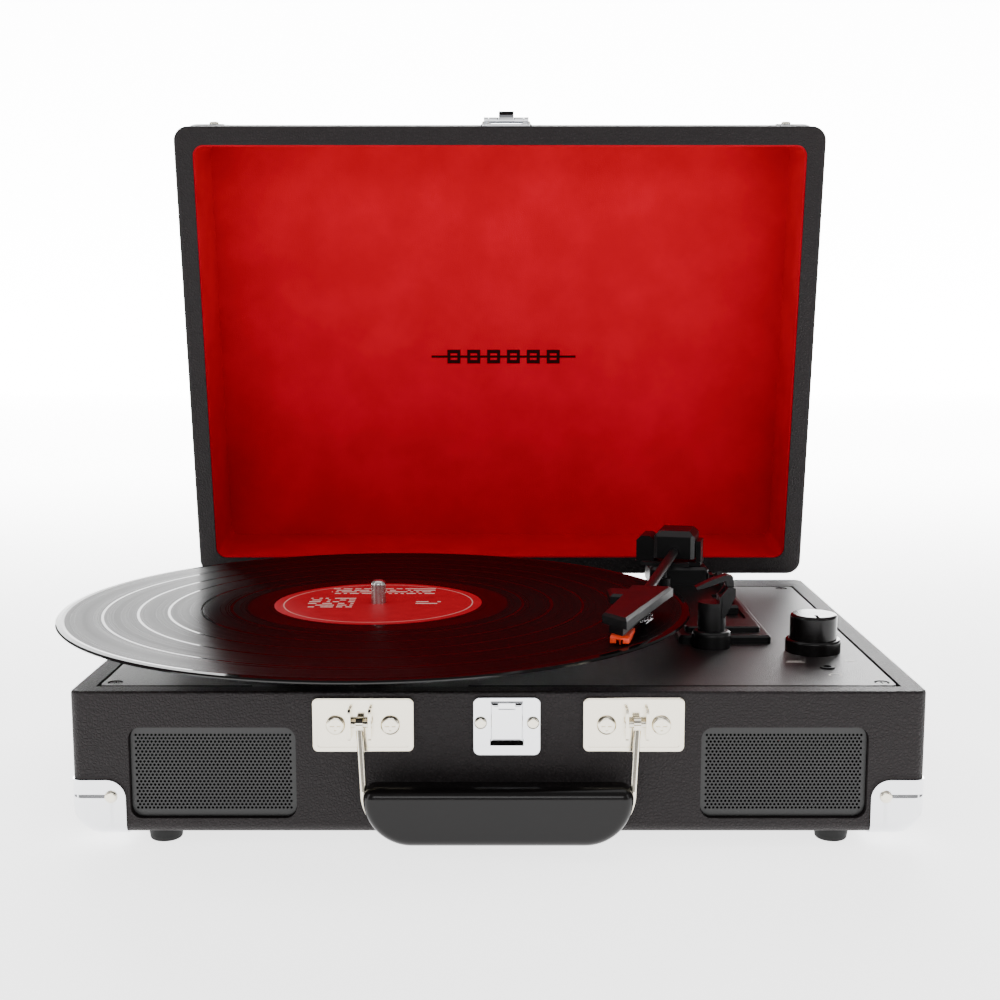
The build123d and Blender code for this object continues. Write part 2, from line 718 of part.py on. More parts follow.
export_step(lid_latch_plate.part, "parts/lid_latch_plate.step")

with BuildPart() as flat_hasp_pin:
    with Locations((latch_x, front - hasp_out, hasp_z)):
        Cylinder(hasp_pin_r, hasp_w + 2 * (air + hasp_lug), rotation=(0, 90, 0))
hasp_pin = on_plane(LID, flat_hasp_pin.part)
hasp_pin.part.label = "hasp_pin"
export_step(hasp_pin.part, "parts/hasp_pin.step")

with BuildPart() as flat_hasp:
    hasp_back = front - hasp_out - hasp_barrel_r + hasp_t
    with Locations((latch_x, front - hasp_out, hasp_z)):
        Cylinder(hasp_barrel_r, hasp_w, rotation=(0, 90, 0))
    with BuildSketch(Plane.XZ.offset(-hasp_back)):
        with Locations((latch_x, (hasp_z - 1.5) / 2)):
            Rectangle(hasp_w, hasp_z + 1.5)
        with Locations((latch_x, (hasp_low - 1.0) / 2)):
            RectangleRounded(tongue_w, -hasp_low + 1.0, 1.8)
    extrude(amount=hasp_t)
    with BuildSketch(Plane.YZ.offset(latch_x - tongue_w / 2 + 1.0)):
        with BuildLine():
            Polyline(
                (hasp_back, hasp_low + 1.2),
                (hasp_back - 4.4, hasp_low - 0.8),
                (hasp_back - 4.4, hasp_low + 0.4),
                (hasp_back, hasp_low + 2.6),
                close=True,
            )
        make_face()
    extrude(amount=tongue_w - 2.0)
    with Locations((latch_x, front - hasp_out, hasp_z)):
        Cylinder(hasp_pin_r + run, 2 * hasp_w, rotation=(0, 90, 0), mode=Mode.SUBTRACT)
latch_hasp = on_plane(LID, flat_hasp.part)
latch_hasp.part.label = "latch_hasp"
export_step(latch_hasp.part, "parts/latch_hasp.step")

# ================================================================ deck and what it carries
plinth_x = PIVOT[0] + 8.0   # middle of the tonearm's base plate
plinth_w = 44.0
plinth_front = PIVOT[1] - 131.0
plinth_back = PIVOT[1] + 11.0
plinth_t = 4.0
plinth_step = 2.6
knob_at = (case_w / 2 - 32.7, front + 72.7)
jack_at = (case_w / 2 - 33.0, front + 41.0)
pot_shaft_r = 3.0
pot_bush_r = 3.9
jack_bore_r = 1.85
jack_ring_r = 3.4
motor_r = 18.0
motor_h = 20.0
motor_shaft_r = 1.0
motor_screw_x = 13.0
MOTOR_SCREWS = [Plane(origin=(PULLEY[0] + sx * motor_screw_x, PULLEY[1], top - recess_t)) for sx in (-1, 1)]
speed_at = (PIVOT[0] + 18.0, PIVOT[1] - 60.0)
stop_at = (PIVOT[0] + 18.0, PIVOT[1] - 86.0)
slot_w = 3.0
stem_w = 2.4
stem_l = 4.0
speed_travel = 5.0
stop_travel = 6.0

with BuildPart() as deck_plate:
    with BuildSketch(Plane.XY.offset(deck_under)):
        with Locations((0, (deck_front + deck_back) / 2)):
            RectangleRounded(2 * deck_x, deck_back - deck_front, 2.0)
    extrude(amount=deck_t)
    with BuildSketch(Plane.XY.offset(top)):
        with Locations(SPINDLE):
            Circle(platter_r + 3)
    extrude(amount=-recess_t, mode=Mode.SUBTRACT)
    with BuildSketch(Plane.XY.offset(top)):
        with Locations(SPINDLE):
            Circle(spindle_r + snug)
        with Locations(PULLEY):
            Circle(motor_shaft_r + 1.0)
        with Locations(knob_at):
            Circle(pot_bush_r + snug)
        with Locations(jack_at):
            Circle(jack_ring_r - 0.8)
        with Locations(speed_at):
            Rectangle(slot_w, stem_l + 2 * speed_travel + 2 * air)
        with Locations((stop_at[0], stop_at[1] + stop_travel / 2)):
            Rectangle(slot_w, stem_l + stop_travel + 2 * air)
    extrude(amount=-deck_t, mode=Mode.SUBTRACT)
    with Locations(*MOTOR_SCREWS):
        Hole(small_shank_r + snug, deck_t)
    with Locations(*DECK_SCREWS):
        Hole(small_shank_r + snug, deck_t)
    with Locations(*[seat.offset(small_head_h + 0.2) for seat in DECK_SCREWS]):
        Hole(small_head_r + air, small_head_h + 0.2)
deck_plate.part.label = "deck_plate"
export_step(deck_plate.part, "parts/deck_plate.step")

with BuildPart() as deck_screws:
    with Locations(*DECK_SCREWS, *MOTOR_SCREWS):
        add(small_screw)
deck_screws.part.label = "deck_screws"
export_step(deck_screws.part, "parts/deck_screws.step")

with BuildPart() as spindle:
    with Locations((*SPINDLE, deck_under - 4)):
        spindle_l = record_top + spindle_up - deck_under + 4
        Cylinder(spindle_r, spindle_l, align=(Align.CENTER, Align.CENTER, Align.MIN))
    fillet(spindle.edges().group_by(Axis.Z)[-1], 2.2)
    with Locations((*SPINDLE, top - recess_t)):
        Cylinder(8.0, 2.4, align=(Align.CENTER, Align.CENTER, Align.MIN))
    with Locations((*SPINDLE, deck_under)):
        Cylinder(6.0, 2.0, align=(Align.CENTER, Align.CENTER, Align.MAX))
spindle.part.label = "spindle"
export_step(spindle.part, "parts/spindle.step")

with BuildPart() as motor_body:
    with Locations((*PULLEY, deck_under)):
        Cylinder(motor_r, motor_h, align=(Align.CENTER, Align.CENTER, Align.MAX))
    fillet(motor_body.edges().group_by(Axis.Z)[0], 2.0)
    with Locations((*PULLEY, deck_under)):
        Cylinder(motor_shaft_r, 12.6, align=(Align.CENTER, Align.CENTER, Align.MIN))
    with Locations(*MOTOR_SCREWS):
        Hole(small_shank_r + snug, 8.0)
motor_body.part.label = "motor_body"
export_step(motor_body.part, "parts/motor_body.step")

with BuildPart() as volume_pot:
    with Locations((*knob_at, deck_under)):
        Box(17, 17, 9, align=(Align.CENTER, Align.CENTER, Align.MAX))
        Cylinder(pot_bush_r, deck_t, align=(Align.CENTER, Align.CENTER, Align.MIN))
        Cylinder(pot_shaft_r, deck_t + 13.0, align=(Align.CENTER, Align.CENTER, Align.MIN))
volume_pot.part.label = "volume_pot"
export_step(volume_pot.part, "parts/volume_pot.step")

with BuildPart() as headphone_jack:
    with Locations((*jack_at, deck_under)):
        Box(11, 9, 14, align=(Align.CENTER, Align.CENTER, Align.MAX))
        Cylinder(jack_ring_r - 0.8 - snug, deck_t, align=(Align.CENTER, Align.CENTER, Align.MIN))
    with Locations((*jack_at, top)):
        Cylinder(jack_ring_r, 0.7, align=(Align.CENTER, Align.CENTER, Align.MIN))
    with Locations((*jack_at, top + 0.7)):
        Cylinder(jack_bore_r, 15.0, align=(Align.CENTER, Align.CENTER, Align.MAX), mode=Mode.SUBTRACT)
headphone_jack.part.label = "headphone_jack"
export_step(headphone_jack.part, "parts/headphone_jack.step")

# ================================================================ platter, record and drive
skirt_low = top + 3.2
hub_low = top - recess_t + 2.4 + air
with BuildPart() as flat_platter:
    with BuildSketch(Plane.XZ):
        with BuildLine():
            Polyline(
                (spindle_r + run, hub_low),
                (9, hub_low),
                (9, platter_z - 2.5),
                (drive_ring_r - 2.5, platter_z - 2.5),
                (drive_ring_r - 2.5, skirt_low),
                (drive_ring_r, skirt_low),
                (drive_ring_r, platter_z - 2.5),
                (platter_r - 2.5, platter_z - 2.5),
                (platter_r - 2.0, skirt_low),
                (platter_r, skirt_low),
                (platter_r, platter_z),
                (spindle_r + run, platter_z),
                close=True,
            )
        make_face()
    revolve(axis=Axis.Z)
    fillet(flat_platter.edges().filter_by(GeomType.CIRCLE).group_by(Axis.Z)[-1].sort_by(SortBy.LENGTH)[-1], 1.0)
platter = on_plane(Plane(origin=(*SPINDLE, 0)), flat_platter.part)
platter.part.label = "platter"
export_step(platter.part, "parts/platter.step")

with BuildPart() as slip_mat:
    with BuildSketch(Plane.XY.offset(platter_z)):
        with Locations(SPINDLE):
            Circle(platter_r - 2)
            Circle(spindle_r + air, mode=Mode.SUBTRACT)
    extrude(amount=mat_t)
slip_mat.part.label = "slip_mat"
export_step(slip_mat.part, "parts/slip_mat.step")

label_r = 50.0
label_t = 0.15
groove_in = 0.2         # grooved area below the edge bead and the label zone
with BuildPart() as record_flat:
    with BuildSketch(Plane.XZ):
        with BuildLine():
            Polyline(
                (spindle_r + run, record_z + label_t),
                (label_r, record_z + label_t),
                (label_r + 2, record_z),
                (label_r + 3, record_z + groove_in),
                (record_r - 4, record_z + groove_in),
                (record_r - 2.6, record_z),
                (record_r - 0.6, record_z + 0.3),
                (record_r, record_z + record_t / 2),
                (record_r - 0.6, record_top - 0.3),
                (record_r - 2.6, record_top),
                (record_r - 4, record_top - groove_in),
                (label_r + 3, record_top - groove_in),
                (label_r + 2, record_top),
                (label_r, record_top - label_t),
                (spindle_r + run, record_top - label_t),
                close=True,
            )
        make_face()
    revolve(axis=Axis.Z)
record_disc = on_plane(Plane(origin=(*SPINDLE, 0)), record_flat.part)
record_disc.part.label = "record_disc"
export_step(record_disc.part, "parts/record_disc.step")

with BuildPart() as record_labels:
    for z in (record_z, record_top - label_t):
        with BuildSketch(Plane.XY.offset(z)):
            with Locations(SPINDLE):
                Circle(label_r)
                Circle(spindle_r + run, mode=Mode.SUBTRACT)
        extrude(amount=label_t)
record_labels.part.label = "record_labels"
export_step(record_labels.part, "parts/record_labels.step")

belt_t = 0.8
belt_w = 4.0
belt_low = top + 4.3
with BuildPart() as motor_pulley:
    with Locations((*PULLEY, belt_low - 1.4)):
        Cylinder(pulley_r + 1.3, 0.9, align=(Align.CENTER, Align.CENTER, Align.MIN))
        Cylinder(pulley_r, belt_w + 2.8, align=(Align.CENTER, Align.CENTER, Align.MIN))
    with Locations((*PULLEY, belt_low + belt_w + 0.5)):
        Cylinder(pulley_r + 1.3, 0.9, align=(Align.CENTER, Align.CENTER, Align.MIN))
    with Locations((*PULLEY, belt_low)):
        Cylinder(motor_shaft_r + run, 12, mode=Mode.SUBTRACT)
motor_pulley.part.label = "motor_pulley"
export_step(motor_pulley.part, "parts/motor_pulley.step")

with BuildPart() as drive_belt:
    for extra, mode in ((air + belt_t, Mode.ADD), (air, Mode.SUBTRACT)):
        with BuildSketch(Plane.XY.offset(belt_low)):
            with Locations(SPINDLE):
                Circle(drive_ring_r + extra)
            with Locations(PULLEY):
                Circle(pulley_r + extra)
            make_hull()
        extrude(amount=belt_w, mode=mode)
drive_belt.part.label = "drive_belt"
export_step(drive_belt.part, "parts/drive_belt.step")

# ================================================================ tonearm's base plate, pillar and rest
rest_at = (PIVOT[0] + 0.5, PIVOT[1] - 135.5)
rest_flange_r = 9.2
rest_r = 6.6
pillar_w = 33.0
pillar_top = top + 16.5
boss_reach = 32.0
boss_angle = 18.6
BOSS = (
    PIVOT[0] - boss_reach * sin(radians(boss_angle)),
    PIVOT[1] - boss_reach * cos(radians(boss_angle)),
)
lever_ear_h = 6.0
boss_top = top + 13.5
guide_r = 1.4
lever_pin = (PIVOT[0] + 20.8, PIVOT[1] - 12.0, top + 10.0)
shaft_r = 4.0


def tube_axis(reach):
    """Height of the tonearm's centre line at a distance from the pivot."""
    return top + tube_z - tube_fall * reach


with BuildPart() as tonearm_base_plate:
    with BuildSketch(Plane.XY.offset(top)):
        with Locations((plinth_x, (plinth_front + plinth_back) / 2)):
            RectangleRounded(plinth_w, plinth_back - plinth_front, 2.0)
    extrude(amount=plinth_t)
    chamfer(tonearm_base_plate.edges().group_by(Axis.Z)[-1], 1.0)
    with BuildSketch(Plane.XY.offset(top + plinth_t)):
        with Locations((plinth_x, (plinth_front + 8 + plinth_back - 4) / 2)):
            RectangleRounded(plinth_w - 8, plinth_back - plinth_front - 12, 2.0)
    extrude(amount=plinth_step)
    chamfer(tonearm_base_plate.edges().group_by(Axis.Z)[-1], 0.6)
    with BuildSketch(Plane.XY.offset(top + plinth_t + plinth_step)):
        with Locations((speed_at[0], (speed_at[1] + stop_at[1]) / 2)):
            RectangleRounded(9.0, 62.0, 2.0)
    extrude(amount=-1.6, mode=Mode.SUBTRACT)
    with Locations((*BOSS, top + 1)):
        Cylinder(3.6, boss_top - top - 1, align=(Align.CENTER, Align.CENTER, Align.MIN))
    for dx in (-2.9, 2.9):
        with Locations((lever_pin[0] + dx, lever_pin[1], top + plinth_t + plinth_step)):
            Box(2.0, 7.0, lever_ear_h, align=(Align.CENTER, Align.CENTER, Align.MIN))
    with Locations(lever_pin):
        Cylinder(1.0, 6.0, rotation=(0, 90, 0))
    with Locations((*BOSS, boss_top)):
        Cylinder(guide_r + run, 2 * (boss_top - top - 1), mode=Mode.SUBTRACT)
    with Locations((*rest_at, top)):
        Cylinder(rest_flange_r + air, 20, mode=Mode.SUBTRACT)
    with BuildSketch(Plane.XY.offset(top)):
        with Locations(speed_at):
            Rectangle(slot_w, stem_l + 2 * speed_travel + 2 * air)
        with Locations((stop_at[0], stop_at[1] + stop_travel / 2)):
            Rectangle(slot_w, stem_l + stop_travel + 2 * air)
    extrude(amount=20, mode=Mode.SUBTRACT)
tonearm_base_plate.part.label = "tonearm_base_plate"
export_step(tonearm_base_plate.part, "parts/tonearm_base_plate.step")

with BuildPart() as tonearm_pillar:
    with BuildSketch(Plane.XY.offset(top + plinth_t + plinth_step)):
        with Locations(PIVOT):
            RectangleRounded(pillar_w, pillar_w - 3, 3.0)
    extrude(amount=pillar_top - top - plinth_t - plinth_step)
    chamfer(tonearm_pillar.edges().group_by(Axis.Z)[-1], 1.5)
    with Locations((*PIVOT, pillar_top)):
        Cylinder(shaft_r + run, 17.0, mode=Mode.SUBTRACT)
tonearm_pillar.part.label = "tonearm_pillar"
export_step(tonearm_pillar.part, "parts/tonearm_pillar.step")

cradle_z = tube_axis(135.5) - tube_r - air
clip_pin = (rest_at[0] + 8.4, cradle_z + 5.8)
clip_half = 3.0
clip_pin_r = 0.9
with BuildPart() as arm_rest_post:
    with Locations((*rest_at, top)):
        Cylinder(rest_flange_r, 8.0, align=(Align.CENTER, Align.CENTER, Align.MIN))
    fillet(arm_rest_post.edges().group_by(Axis.Z)[-1], 2.2)
    with Locations((*rest_at, top + 4)):
        Cylinder(rest_r, cradle_z + 3.2 - top - 4, align=(Align.CENTER, Align.CENTER, Align.MIN))
    with Locations((rest_at[0] - 7.0 + 2.9, rest_at[1], cradle_z)):
        Box(14.0, 20.0, 20.0, align=(Align.CENTER, Align.CENTER, Align.MIN), mode=Mode.SUBTRACT)
    for dy in (-clip_half - air - 0.9, clip_half + air + 0.9):
        with BuildSketch(Plane.XZ.offset(-rest_at[1] - dy)):
            with BuildLine():
                Polyline(
                    (rest_at[0] + 3.2, cradle_z - 7),
                    (rest_at[0] + 5.4, cradle_z - 7),
                    (clip_pin[0] + 1.9, clip_pin[1] - 2.5),
                    (clip_pin[0] + 1.9, clip_pin[1] + 1.4),
                    (clip_pin[0] - 1.4, clip_pin[1] + 1.9),
                    (rest_at[0] + 3.2, cradle_z + 3.0),
                    close=True,
                )
            make_face()
        extrude(amount=0.9, both=True)
    with Locations((clip_pin[0], rest_at[1], clip_pin[1])):
        Cylinder(2.3, 2 * (clip_half + air), rotation=(90, 0, 0), mode=Mode.SUBTRACT)
        Cylinder(clip_pin_r, 2 * (clip_half + air) + 2, rotation=(90, 0, 0))
arm_rest_post.part.label = "arm_rest_post"
export_step(arm_rest_post.part, "parts/arm_rest_post.step")

with BuildPart() as arm_clip:
    with BuildSketch(Plane.XZ.offset(-rest_at[1])):
        with Locations(clip_pin):
            Circle(1.9)
        with BuildLine():
            Polyline(
                (clip_pin[0] - 1.5, clip_pin[1] + 0.4),
                (clip_pin[0] + 1.5, clip_pin[1] + 0.4),
                (clip_pin[0] + 0.9, clip_pin[1] + 6.6),
                (clip_pin[0] - 2.2, clip_pin[1] + 7.4),
                (clip_pin[0] - 9.0, clip_pin[1] + 5.0),
                (clip_pin[0] - 16.4, clip_pin[1] + 1.4),
                (clip_pin[0] - 15.8, clip_pin[1] + 0.2),
                (clip_pin[0] - 8.4, clip_pin[1] + 2.4),
                (clip_pin[0] - 2.6, clip_pin[1] + 4.6),
                close=True,
            )
        make_face()
        with Locations(clip_pin):
            Circle(clip_pin_r + run, mode=Mode.SUBTRACT)
    extrude(amount=clip_half, both=True)
arm_clip.part.label = "arm_clip"
export_step(arm_clip.part, "parts/arm_clip.step")

with BuildPart() as cue_lever:
    with BuildSketch(Plane.YZ.offset(lever_pin[0])):
        with Locations(lever_pin[1:]):
            Circle(2.3)
            with Locations(Rotation(0, 0, 160)):
                with Locations((7.5, 0)):
                    Rectangle(15.0, 2.6)
        with Locations(lever_pin[1:]):
            Circle(1.0 + run, mode=Mode.SUBTRACT)
    extrude(amount=1.5, both=True)
cue_lever.part.label = "cue_lever"
export_step(cue_lever.part, "parts/cue_lever.step")

bar_low = tube_axis(boss_reach) - tube_r - air - 2.0
with BuildPart() as lift_bar:
    with BuildSketch(Plane.XY.offset(bar_low)):
        with BuildLine():
            inner_arc = CenterArc(PIVOT, boss_reach - 1.6, 227.0, 48.0)
            outer_arc = CenterArc(PIVOT, boss_reach + 1.6, 227.0, 48.0)
            Line(inner_arc @ 0, outer_arc @ 0)
            Line(inner_arc @ 1, outer_arc @ 1)
        make_face()
    extrude(amount=2.0)
    with Locations((*BOSS, bar_low)):
        Cylinder(guide_r, 8.0, align=(Align.CENTER, Align.CENTER, Align.MAX))
lift_bar.part.label = "lift_bar"
export_step(lift_bar.part, "parts/lift_bar.step")

# ================================================================ tonearm
turret_low = pillar_top + air
axle_z = top + 25.0
axle_r = 1.5
house_w = 22.6
house_low = top + 21.2
house_high = top + 36.5

with BuildPart() as flat_turret:
    with Locations((-3.8, 0, turret_low)):
        Box(36.6, 20.0, 2.2, align=(Align.CENTER, Align.CENTER, Align.MIN))
    with Locations((0, 0, turret_low)):
        Cylinder(13.0, 2.2, align=(Align.CENTER, Align.CENTER, Align.MIN))
        Cylinder(shaft_r, 8.0, align=(Align.CENTER, Align.CENTER, Align.MAX))
    with Locations((-house_w / 2 - air - 5.0, 0, turret_low)):
        Box(10.0, 19.0, top + 33.0 - turret_low, align=(Align.CENTER, Align.CENTER, Align.MIN))
    with Locations((house_w / 2 + air + 1.4, 0, turret_low)):
        Box(2.8, 15.0, top + 30.5 - turret_low, align=(Align.CENTER, Align.CENTER, Align.MIN))
    chamfer(flat_turret.edges().filter_by(Axis.Y).group_by(Axis.Z)[-1], 2.6)
    with Locations((0, 0, axle_z)):
        Cylinder(axle_r + snug, 60, rotation=(0, 90, 0), mode=Mode.SUBTRACT)
tonearm_turret = on_plane(ARM, flat_turret.part)
tonearm_turret.part.label = "tonearm_turret"
export_step(tonearm_turret.part, "parts/tonearm_turret.step")

with BuildPart() as flat_axle:
    with Locations((0, 0, axle_z)):
        Cylinder(axle_r, house_w + 2 * (air + 2.8), rotation=(0, 90, 0))
tonearm_axle = on_plane(ARM, flat_axle.part)
tonearm_axle.part.label = "tonearm_axle"
export_step(tonearm_axle.part, "parts/tonearm_axle.step")


def arm_rod(radius, near, far):
    """Round rod along the tonearm's centre line between two reaches from the pivot."""
    with BuildPart() as rod:
        start = Plane(origin=(0, -near, tube_axis(near)), z_dir=(0, -1, -tube_fall))
        with BuildSketch(start):
            Circle(radius)
        extrude(amount=far - near)
    return rod.part


with BuildPart() as flat_housing:
    with Locations((0, 0, house_low)):
        Box(house_w, 28.0, house_high - house_low, align=(Align.CENTER, Align.CENTER, Align.MIN))
    chamfer(flat_housing.faces().sort_by(Axis.Z)[-1].edges(), 3.0)
    chamfer(flat_housing.edges().filter_by(Axis.Z), 2.0)
    with Locations((0, 0, axle_z)):
        Cylinder(axle_r + run, 60, rotation=(0, 90, 0), mode=Mode.SUBTRACT)
    add(arm_rod(tube_r + snug, 6.0, 40.0), mode=Mode.SUBTRACT)
arm_housing = on_plane(ARM, flat_housing.part)
arm_housing.part.label = "arm_housing"
export_step(arm_housing.part, "parts/arm_housing.step")

shell_back = arm_len - 72.0
shell_front = arm_len + 6.0
shell_low = tube_axis(shell_back) + 0.9
shell_high = shell_low + 4.6
with BuildPart() as flat_tube:
    add(arm_rod(tube_r, 6.5, shell_back + 7.0))
tonearm_tube = on_plane(ARM, flat_tube.part)
tonearm_tube.part.label = "tonearm_tube"
export_step(tonearm_tube.part, "parts/tonearm_tube.step")

with BuildPart() as flat_shell:
    with BuildSketch(Plane.XY.offset(shell_low)):
        with BuildLine():
            Polyline(
                (-6.0, -shell_back),
                (14.0, -shell_back),
                (3.6, -shell_front),
                (-8.6, -shell_front + 11.0),
                close=True,
            )
        make_face()
        with BuildLine():
            Polyline(
                (-15.5, -shell_back - 10),
                (-5.5, -shell_back - 10),
                (-5.5, -shell_back - 26),
                (-11.5, -shell_back - 26),
                close=True,
            )
        make_face()
    extrude(amount=shell_high - shell_low)
    chamfer(flat_shell.faces().sort_by(Axis.Z)[-1].edges(), 1.2)
    with BuildSketch(Plane.XY.offset(shell_low)):
        with BuildLine():
            Polyline(
                (-4.0, -shell_back - 16),
                (8.5, -shell_back - 16),
                (1.8, -shell_front + 3.0),
                (-6.2, -shell_front + 10.0),
                close=True,
            )
        make_face()
    extrude(amount=shell_high - shell_low - 2.2, mode=Mode.SUBTRACT)
    add(arm_rod(tube_r + snug, 20.0, shell_back + 7.4), mode=Mode.SUBTRACT)
headshell = on_plane(ARM, flat_shell.part)
headshell.part.label = "headshell"
export_step(headshell.part, "parts/headshell.step")

groove_z = record_top - groove_in
guard_low = groove_z + 1.2
cart_low = guard_low + 3.0
cart_back = shell_back + 22.0
with BuildPart() as flat_cartridge:
    with BuildSketch(Plane.XY.offset(cart_low)):
        with BuildLine():
            Polyline(
                (-3.2, -cart_back),
                (6.4, -cart_back),
                (1.4, -shell_front + 4.4),
                (-5.4, -shell_front + 11.0),
                close=True,
            )
        make_face()
    extrude(amount=shell_high - 2.2 - cart_low)
cartridge = on_plane(ARM, flat_cartridge.part)
cartridge.part.label = "cartridge"
export_step(cartridge.part, "parts/cartridge.step")

stylus_gap = air        # stylus above the bottom of the groove
with BuildPart() as flat_guard:
    with BuildSketch(Plane.YZ):
        with BuildLine():
            Polyline(
                (-arm_len + 16, cart_low),
                (-arm_len - 0.6, cart_low),
                (-arm_len - 2.0, cart_low - 0.8),
                (-arm_len - 2.0, guard_low),
                (-arm_len + 6, guard_low),
                (-arm_len + 16, guard_low + 1.2),
                close=True,
            )
        make_face()
    extrude(amount=4.0, both=True)
    with Locations((0, -arm_len + 4, guard_low)):
        Box(3.0, 22.0, 1.6, align=(Align.CENTER, Align.CENTER, Align.MIN), mode=Mode.SUBTRACT)
    with Locations((0, -arm_len, groove_z + stylus_gap)):
        stylus_h = guard_low + 1.6 - groove_z - stylus_gap
        Cone(0.2, 0.7, stylus_h, align=(Align.CENTER, Align.CENTER, Align.MIN))
stylus_guard = on_plane(ARM.offset(0), flat_guard.part)
stylus_guard.part.label = "stylus_guard"
export_step(stylus_guard.part, "parts/stylus_guard.step")

# ================================================================ controls
with BuildPart() as volume_knob:
    with Locations((*knob_at, top + air)):
        Cylinder(12.75, 6.2, align=(Align.CENTER, Align.CENTER, Align.MIN))
    fillet(volume_knob.edges().filter_by(GeomType.CIRCLE).group_by(Axis.Z)[-1], 1.2)
    with Locations((*knob_at, top + air)):
        Cylinder(10.8, 17.7, align=(Align.CENTER, Align.CENTER, Align.MIN))
    fillet(volume_knob.edges().filter_by(GeomType.CIRCLE).group_by(Axis.Z)[-1], 1.4)
    with Locations((knob_at[0], knob_at[1] - 7.0, top + 18.0)):
        Box(1.6, 6.0, 1.2, align=(Align.CENTER, Align.CENTER, Align.MAX), mode=Mode.SUBTRACT)
    with Locations((*knob_at, top)):
        Cylinder(pot_shaft_r + run, 13.5, align=(Align.CENTER, Align.CENTER, Align.MIN), mode=Mode.SUBTRACT)
volume_knob.part.label = "volume_knob"
export_step(volume_knob.part, "parts/volume_knob.step")

slider_low = top + plinth_t + plinth_step - 1.6 + air


def slider(at):
    """Slide switch cap at its rest place, with the stem that passes down through the slot."""
    with BuildPart() as cap:
        with Locations((*at, slider_low)):
            Box(6.0, 5.0, 4.6, align=(Align.CENTER, Align.CENTER, Align.MIN))
        chamfer(cap.faces().sort_by(Axis.Z)[-1].edges().filter_by(Axis.X), 1.2)
        with Locations((*at, slider_low)):
            Box(stem_w, stem_l, 8.0, align=(Align.CENTER, Align.CENTER, Align.MAX))
    return cap


speed_slider = slider(speed_at)
speed_slider.part.label = "speed_slider"
export_step(speed_slider.part, "parts/speed_slider.step")

autostop_slider = slider(stop_at)
autostop_slider.part.label = "autostop_slider"
export_step(autostop_slider.part, "parts/autostop_slider.step")

# ================================================================ electronics and rear sockets
with BuildPart() as amplifier_board:
    with Locations((board_x, board_y, board_z)):
        Box(board_w, board_d, board_t, align=(Align.CENTER, Align.CENTER, Align.MIN))
amplifier_board.part.label = "amplifier_board"
export_step(amplifier_board.part, "parts/amplifier_board.step")

with BuildPart() as board_components:
    chips = [(board_x + dx, board_y + dy, board_z + board_t) for dx in (-24, -12, 8) for dy in (-14, 14)]
    with Locations(*chips):
        Cylinder(4.0, 11.0, align=(Align.CENTER, Align.CENTER, Align.MIN))
    with Locations((board_x + 22, board_y, board_z + board_t)):
        Box(12.0, 30.0, 16.0, align=(Align.CENTER, Align.CENTER, Align.MIN))
board_components.part.label = "board_components"
export_step(board_components.part, "parts/board_components.step")

rca_x = (panel_x + 22.0, panel_x + 6.0)
dc_x = panel_x - 22.0
dc_bore_r = 2.8
with BuildPart() as rear_panel:
    add(slab(back_face(panel_x, panel_z), panel_w, panel_h, panel_t, 2.5))
    with Locations(*PANEL_SCREWS):
        Hole(small_shank_r + snug, 2 * panel_t)
    with Locations(*[back_face(x, panel_z, panel_t) for x in (*rca_x, dc_x)]):
        Hole(3.6 + snug, 2 * panel_t)
rear_panel.part.label = "rear_panel"
export_step(rear_panel.part, "parts/rear_panel.step")

with BuildPart() as rca_jacks:
    with Locations(*[back_face(x, panel_z, panel_t) for x in rca_x]):
        Cylinder(5.5, 2.0, align=(Align.CENTER, Align.CENTER, Align.MIN))
        Cylinder(4.15, 9.5, align=(Align.CENTER, Align.CENTER, Align.MIN))
        Cylinder(3.6, 6.0, align=(Align.CENTER, Align.CENTER, Align.MAX))
    with Locations(*[back_face(x, panel_z, panel_t + 9.5) for x in rca_x]):
        Hole(1.6, 11.0)
rca_jacks.part.label = "rca_jacks"
export_step(rca_jacks.part, "parts/rca_jacks.step")

with BuildPart() as dc_jack:
    with Locations(back_face(dc_x, panel_z, panel_t)):
        Cylinder(5.0, 1.0, align=(Align.CENTER, Align.CENTER, Align.MIN))
        Cylinder(3.6, 11.0, align=(Align.CENTER, Align.CENTER, Align.MAX))
    with Locations(back_face(dc_x, panel_z, panel_t + 1.0)):
        Hole(dc_bore_r, 10.0)
dc_jack.part.label = "dc_jack"
export_step(dc_jack.part, "parts/dc_jack.step")

with BuildPart() as rear_screws:
    with Locations(*PANEL_SCREWS, *BASE_HINGE_SCREWS):
        add(small_screw)
rear_screws.part.label = "rear_screws"
export_step(rear_screws.part, "parts/rear_screws.step")
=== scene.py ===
"""Suitcase record player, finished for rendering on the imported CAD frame. Metres, row frame."""

from math import cos, radians, sin

